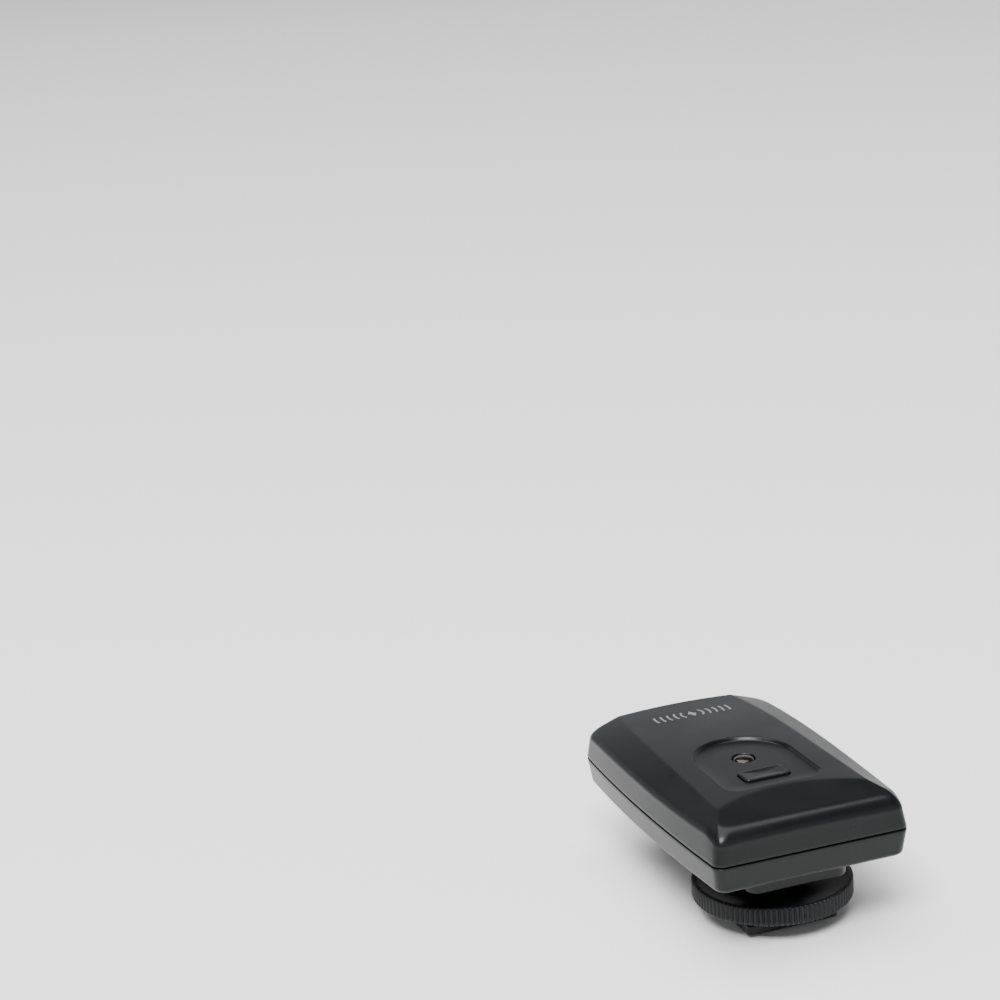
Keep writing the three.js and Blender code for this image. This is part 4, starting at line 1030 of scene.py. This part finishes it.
def coil_rows(low, high, coil_radius):
    """Circles of the wire's radius, square to a helix that rises from low to high."""
    along = np.linspace(0, 1, SPRING_TURNS * 32 + 1)[:, None]
    angle = 2 * math.pi * SPRING_TURNS * along
    rise = high - low - 2 * SPRING_WIRE
    radial = np.hstack([np.cos(angle), np.sin(angle), 0 * angle])
    slope = rise / (2 * math.pi * SPRING_TURNS * coil_radius)
    tangent = np.hstack([-np.sin(angle), np.cos(angle), 0 * angle + slope])
    across = np.cross(tangent / np.hypot(1, slope), radial)
    middle = coil_radius * radial + (low + SPRING_WIRE + rise * along) * np.array([0, 0, 1])
    turn = np.linspace(0, 2 * math.pi, 16, endpoint=False)[None, :, None]
    return middle[:, None] + SPRING_WIRE * (
        np.cos(turn) * radial[:, None] + np.sin(turn) * across[:, None])


spring_low, spring_high = packed("contact_spring")
spring = skin("spring_contact", coil_rows(
    spring_low[2], spring_high[2], spring_high[0] - SPRING_WIRE - 0.02), "flat")
hand_over(spring, nickel, "housing", ["contact_spring"])
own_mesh(spring)


# %% [markdown]
# ## Screws
# Four pan-head screws hold the shells together from below. A pan head is a low dome with a flat
# side, and the driver's cross is cut in with two tapered bars.

# %% Casing screws
def screw(name, x, y):
    """Head downwards: a turned body whose head bulges as a quarter of a flattened circle."""
    low, high = packed("casing_screw_" + name)
    steps = [(0.3, low[2])]
    for across, up in quarter(7):
        steps.append((0.9 + 1.0 * up, low[2] + 0.7 * across))
    steps += [(1.9, low[2] + 1.4), (1.0, low[2] + 1.4), (1.0, high[2] - 0.6), (0.4, high[2])]
    body = skin("screw_" + name, turned_rows(steps, (x, y)))
    bars = []
    for length, width in ((1.1, 0.2), (0.2, 1.1)):
        loops = []
        for z, grow in ((low[2] - 0.5, 0.1), (low[2] + 0.65, 0)):
            half_x, half_y = length + grow * (length > 1), width + grow * (width > 1)
            corners = [(-half_x, -half_y), (half_x, -half_y), (half_x, half_y), (-half_x, half_y)]
            loops.append(lift(np.array(corners) + (x, y), z))
        bars.append(skin("bar", loops, "flat"))
    carve(body, bars)
    hand_over(body, nickel, "housing", ["casing_screw_" + name])


for name, (x, y) in casing_screw_places().items():
    screw(name, x, y)


# %% [markdown]
# ## Channel switch and sync socket
# On the right side a four-way switch sets the radio channel. Its body is red and its sliders are
# white, as such switches usually are. Every moulded block has softened edges: a rounded oblong
# is carried along one axis, and drawn in at both ends round a quarter circle.

# %% Rounded blocks
def rounded_block(name, low, high, radius):
    """Loops square to X: a rounded oblong that is drawn in by radius (1 - sin) near each end."""
    middle = (low + high) / 2
    half = (high - low) / 2
    steps = [(low[0] + radius * across, radius * (1 - up)) for across, up in quarter(4)]
    steps += [(high[0] - radius * (1 - up), radius * across) for across, up in quarter(4)]
    rows = []
    for x, inset in steps:
        outline = rounded_rectangle(half[1] - inset, half[2] - inset, radius)
        loop = at_angles(outline, np.zeros(2), round_angles)
        rows.append(np.column_stack([
            np.full(len(loop), x), loop[:, 0] + middle[1], loop[:, 1] + middle[2]]))
    return skin(name, rows)


def plain_plastic(name, base, roughness):
    """A moulded plastic with a faint unevenness a few millimetres wide."""
    return spark_eroded_plastic(name, base, roughness * 0.9, roughness * 1.15, 0.4, 0.004, 0.04)


pbt_red = plain_plastic("pbt_red_switch", "#8f2a24", 0.4)
pom_white = plain_plastic("pom_white_slider", "#dcdbd4", 0.38)
switch = rounded_block("switch_block", switch_low, switch_high, 0.25)
sliders = {f"channel_slider_{way}": packed(f"channel_slider_{way}") for way in range(1, 5)}
carve(switch, [block(low[0] - 0.3, high[0], low[1] - 0.15, high[1] + 0.15,
                     switch_low[2] + 1.7, switch_low[2] + 4.9) for low, high in sliders.values()])
hand_over(switch, pbt_red, "housing", ["channel_switch_body"])
for node, (low, high) in sliders.items():
    knob = rounded_block(node.removeprefix("channel_"), low, high, 0.18)
    hand_over(knob, pom_white, node, [node])

# %% Sync socket sleeve
sleeve_low, sleeve_high = packed("sync_socket_sleeve")


def sleeve_rows():
    start, stop = sleeve_low[0], sleeve_high[0]
    steps = [(start, 1.3), (start, 2.5), (stop - 0.3, 2.5), (stop - 0.08, 2.42), (stop, 2.2),
             (stop, 1.7), (stop - 0.35, 1.3)]
    return [along_x(x, SOCKET_Y, SOCKET_Z, radius) for x, radius in steps]


sleeve = skin("socket_sleeve", sleeve_rows(), "ring")
hand_over(sleeve, nickel, "housing", ["sync_socket_sleeve"])


# %% [markdown]
# ## The cell
# The 12 V cell shows when the door slides off. It is a steel can in a shrunk plastic sleeve. The
# sleeve wraps over both ends, and a smaller cap stands out at the positive end.

# %% Battery cell
def cell_rows():
    """Loops along X: the flat negative end, the rounded sleeve, the shoulder and the cap."""
    start, stop = cell_low[0], cell_high[0]
    y, z = (cell_low[1] + cell_high[1]) / 2, (cell_low[2] + cell_high[2]) / 2
    full = (cell_high[1] - cell_low[1]) / 2
    steps = [(start + 0.15, 3.6), (start + 0.15, 4.0), (start, 4.1), (start + 0.1, full - 0.25),
             (start + 0.35, full), (stop - 1.6, full), (stop - 1.3, full - 0.25),
             (stop - 1.2, 4.0), (stop - 1.35, 3.9), (stop - 1.35, 2.5), (stop - 0.25, 2.4),
             (stop, 2.15)]
    return [along_x(x, y, z, radius) for x, radius in steps]


cell_sleeve = plain_plastic("pvc_shrink_sleeve", "#4d5157", 0.28)
cell = skin("cell_sleeved", cell_rows())
hand_over(cell, cell_sleeve, "housing", ["battery_cell"])


# %% [markdown]
# ## Printed mark
# Near the front of the roof a maker prints a name in pale ink. Here it is a plain symbol of a
# flash and radio waves, upright when seen from the front. Each stroke is a slab of ink a few
# hundredths of a millimetre thick, which follows the roof.

# %% Radio symbol
MARK_CENTRE = np.array([0.65, 36.3])
MARK_HALF_HEIGHT, STROKE = 1.5, 0.42


def ink_slab(outline):
    """Points and faces of a thin slab over the roof whose outline is given about the mark."""
    plan = np.asarray(outline) + MARK_CENTRE
    height = roof(plan)
    return stitch([lift(plan, height - 0.05), lift(plan, height + 0.015)], "flat")


def wave_outlines(radius):
    """The outlines of two arcs of a circle, right and left: each is short enough to stay within
    the mark's height, so its half angle is the arcsine of that height over the radius."""
    reach = math.asin(min(0.95, MARK_HALF_HEIGHT / radius))
    bend = np.linspace(-reach, reach, 24)
    for turned in (0, math.pi):
        outside = circle(radius + STROKE / 2, bend + turned)
        inside = circle(radius - STROKE / 2, (bend + turned)[::-1])
        yield np.vstack([outside, inside])


def bolt_halves():
    """A flash as two leaning slivers that share their middle."""
    upper_half = [(-0.15, 1.5), (-0.95, -0.2), (0.1, -0.2), (0.45, 0.35)]
    return [np.array(upper_half)[::-1], -np.array(upper_half)[::-1]]


strokes = [ink_slab(outline) for radius in (2.3, 3.7, 5.1, 6.5, 7.9)
           for outline in wave_outlines(radius)]
strokes += [ink_slab(outline) for outline in bolt_halves()]
ink_grey = plain_plastic("ink_pad_printed_grey", "#6f726f", 0.5)
mark = together("mark_printed", strokes)
hand_over(mark, ink_grey, "housing")


# %% [markdown]
# ## Inside pieces
# The board and what stands on it are seen only through gaps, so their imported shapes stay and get
# better materials. Each is named for what it is made of.

# %% Materials of the inside pieces
inside_finishes = {
    plain_plastic("epoxy_glass_board", "#1c5a38", 0.32): ["circuit_board"],
    plain_plastic("moulding_compound_black", "#1b1b1d", 0.5): [
        "encoder_chip", "tact_switch_body", "sync_socket_body"],
    plain_plastic("grey_plunger_plastic", "#75787b", 0.4): ["tact_switch_plunger"],
    bright_metal("aluminium_drawn_can", "#cfd1d3", 0.3): ["capacitor", "crystal_can"],
    bright_metal("enamelled_copper_wire", "#b5714a", 0.25): ["antenna_coil"],
    gold: ["contact_terminal", "ground_contact_leaf"],
    nickel: [
        "positive_contact_plate", "negative_contact_plate", "cell_spring",
        "foot_retaining_plate", "board_screw_rear", "board_screw_front", "foot_screw_left",
        "foot_screw_right"],
    plain_plastic("pvc_red_insulation", "#9c2420", 0.45): ["positive_lead"],
    plain_plastic("pvc_black_insulation", "#1c1c1d", 0.45): ["negative_lead"],
    plain_plastic("pvc_white_insulation", "#d3d2cc", 0.45): ["hot_shoe_lead"],
}
for material, names in inside_finishes.items():
    for name in names:
        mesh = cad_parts[name].data
        mesh.materials.clear()
        mesh.materials.append(material)
    print(material.name, "on", names)


# %% [markdown]
# ## Floor
# The trigger stands on a plain pale floor. It isn't part of the object.

# %% Pale floor
def floor_material():
    """Matt white board."""
    material, tree = new_tree("matt_white_board")
    shader = add_node(tree, "ShaderNodeBsdfPrincipled", {
        "Base Color": colour("#f2f2f1"), "Roughness": 0.8})
    set_surface(tree, shader)
    return material


floor_z = cad_box[0][2] / MM
FLOOR_REACH = 12000
floor_loop = FLOOR_REACH * np.array([(-1, -1), (1, -1), (1, 1), (-1, 1)], float)
floor = skin("floor", [lift(floor_loop, floor_z - 5), lift(floor_loop, floor_z)], "flat")
floor.data.materials.append(floor_material())
print("floor at", round(floor_z, 2), "mm")
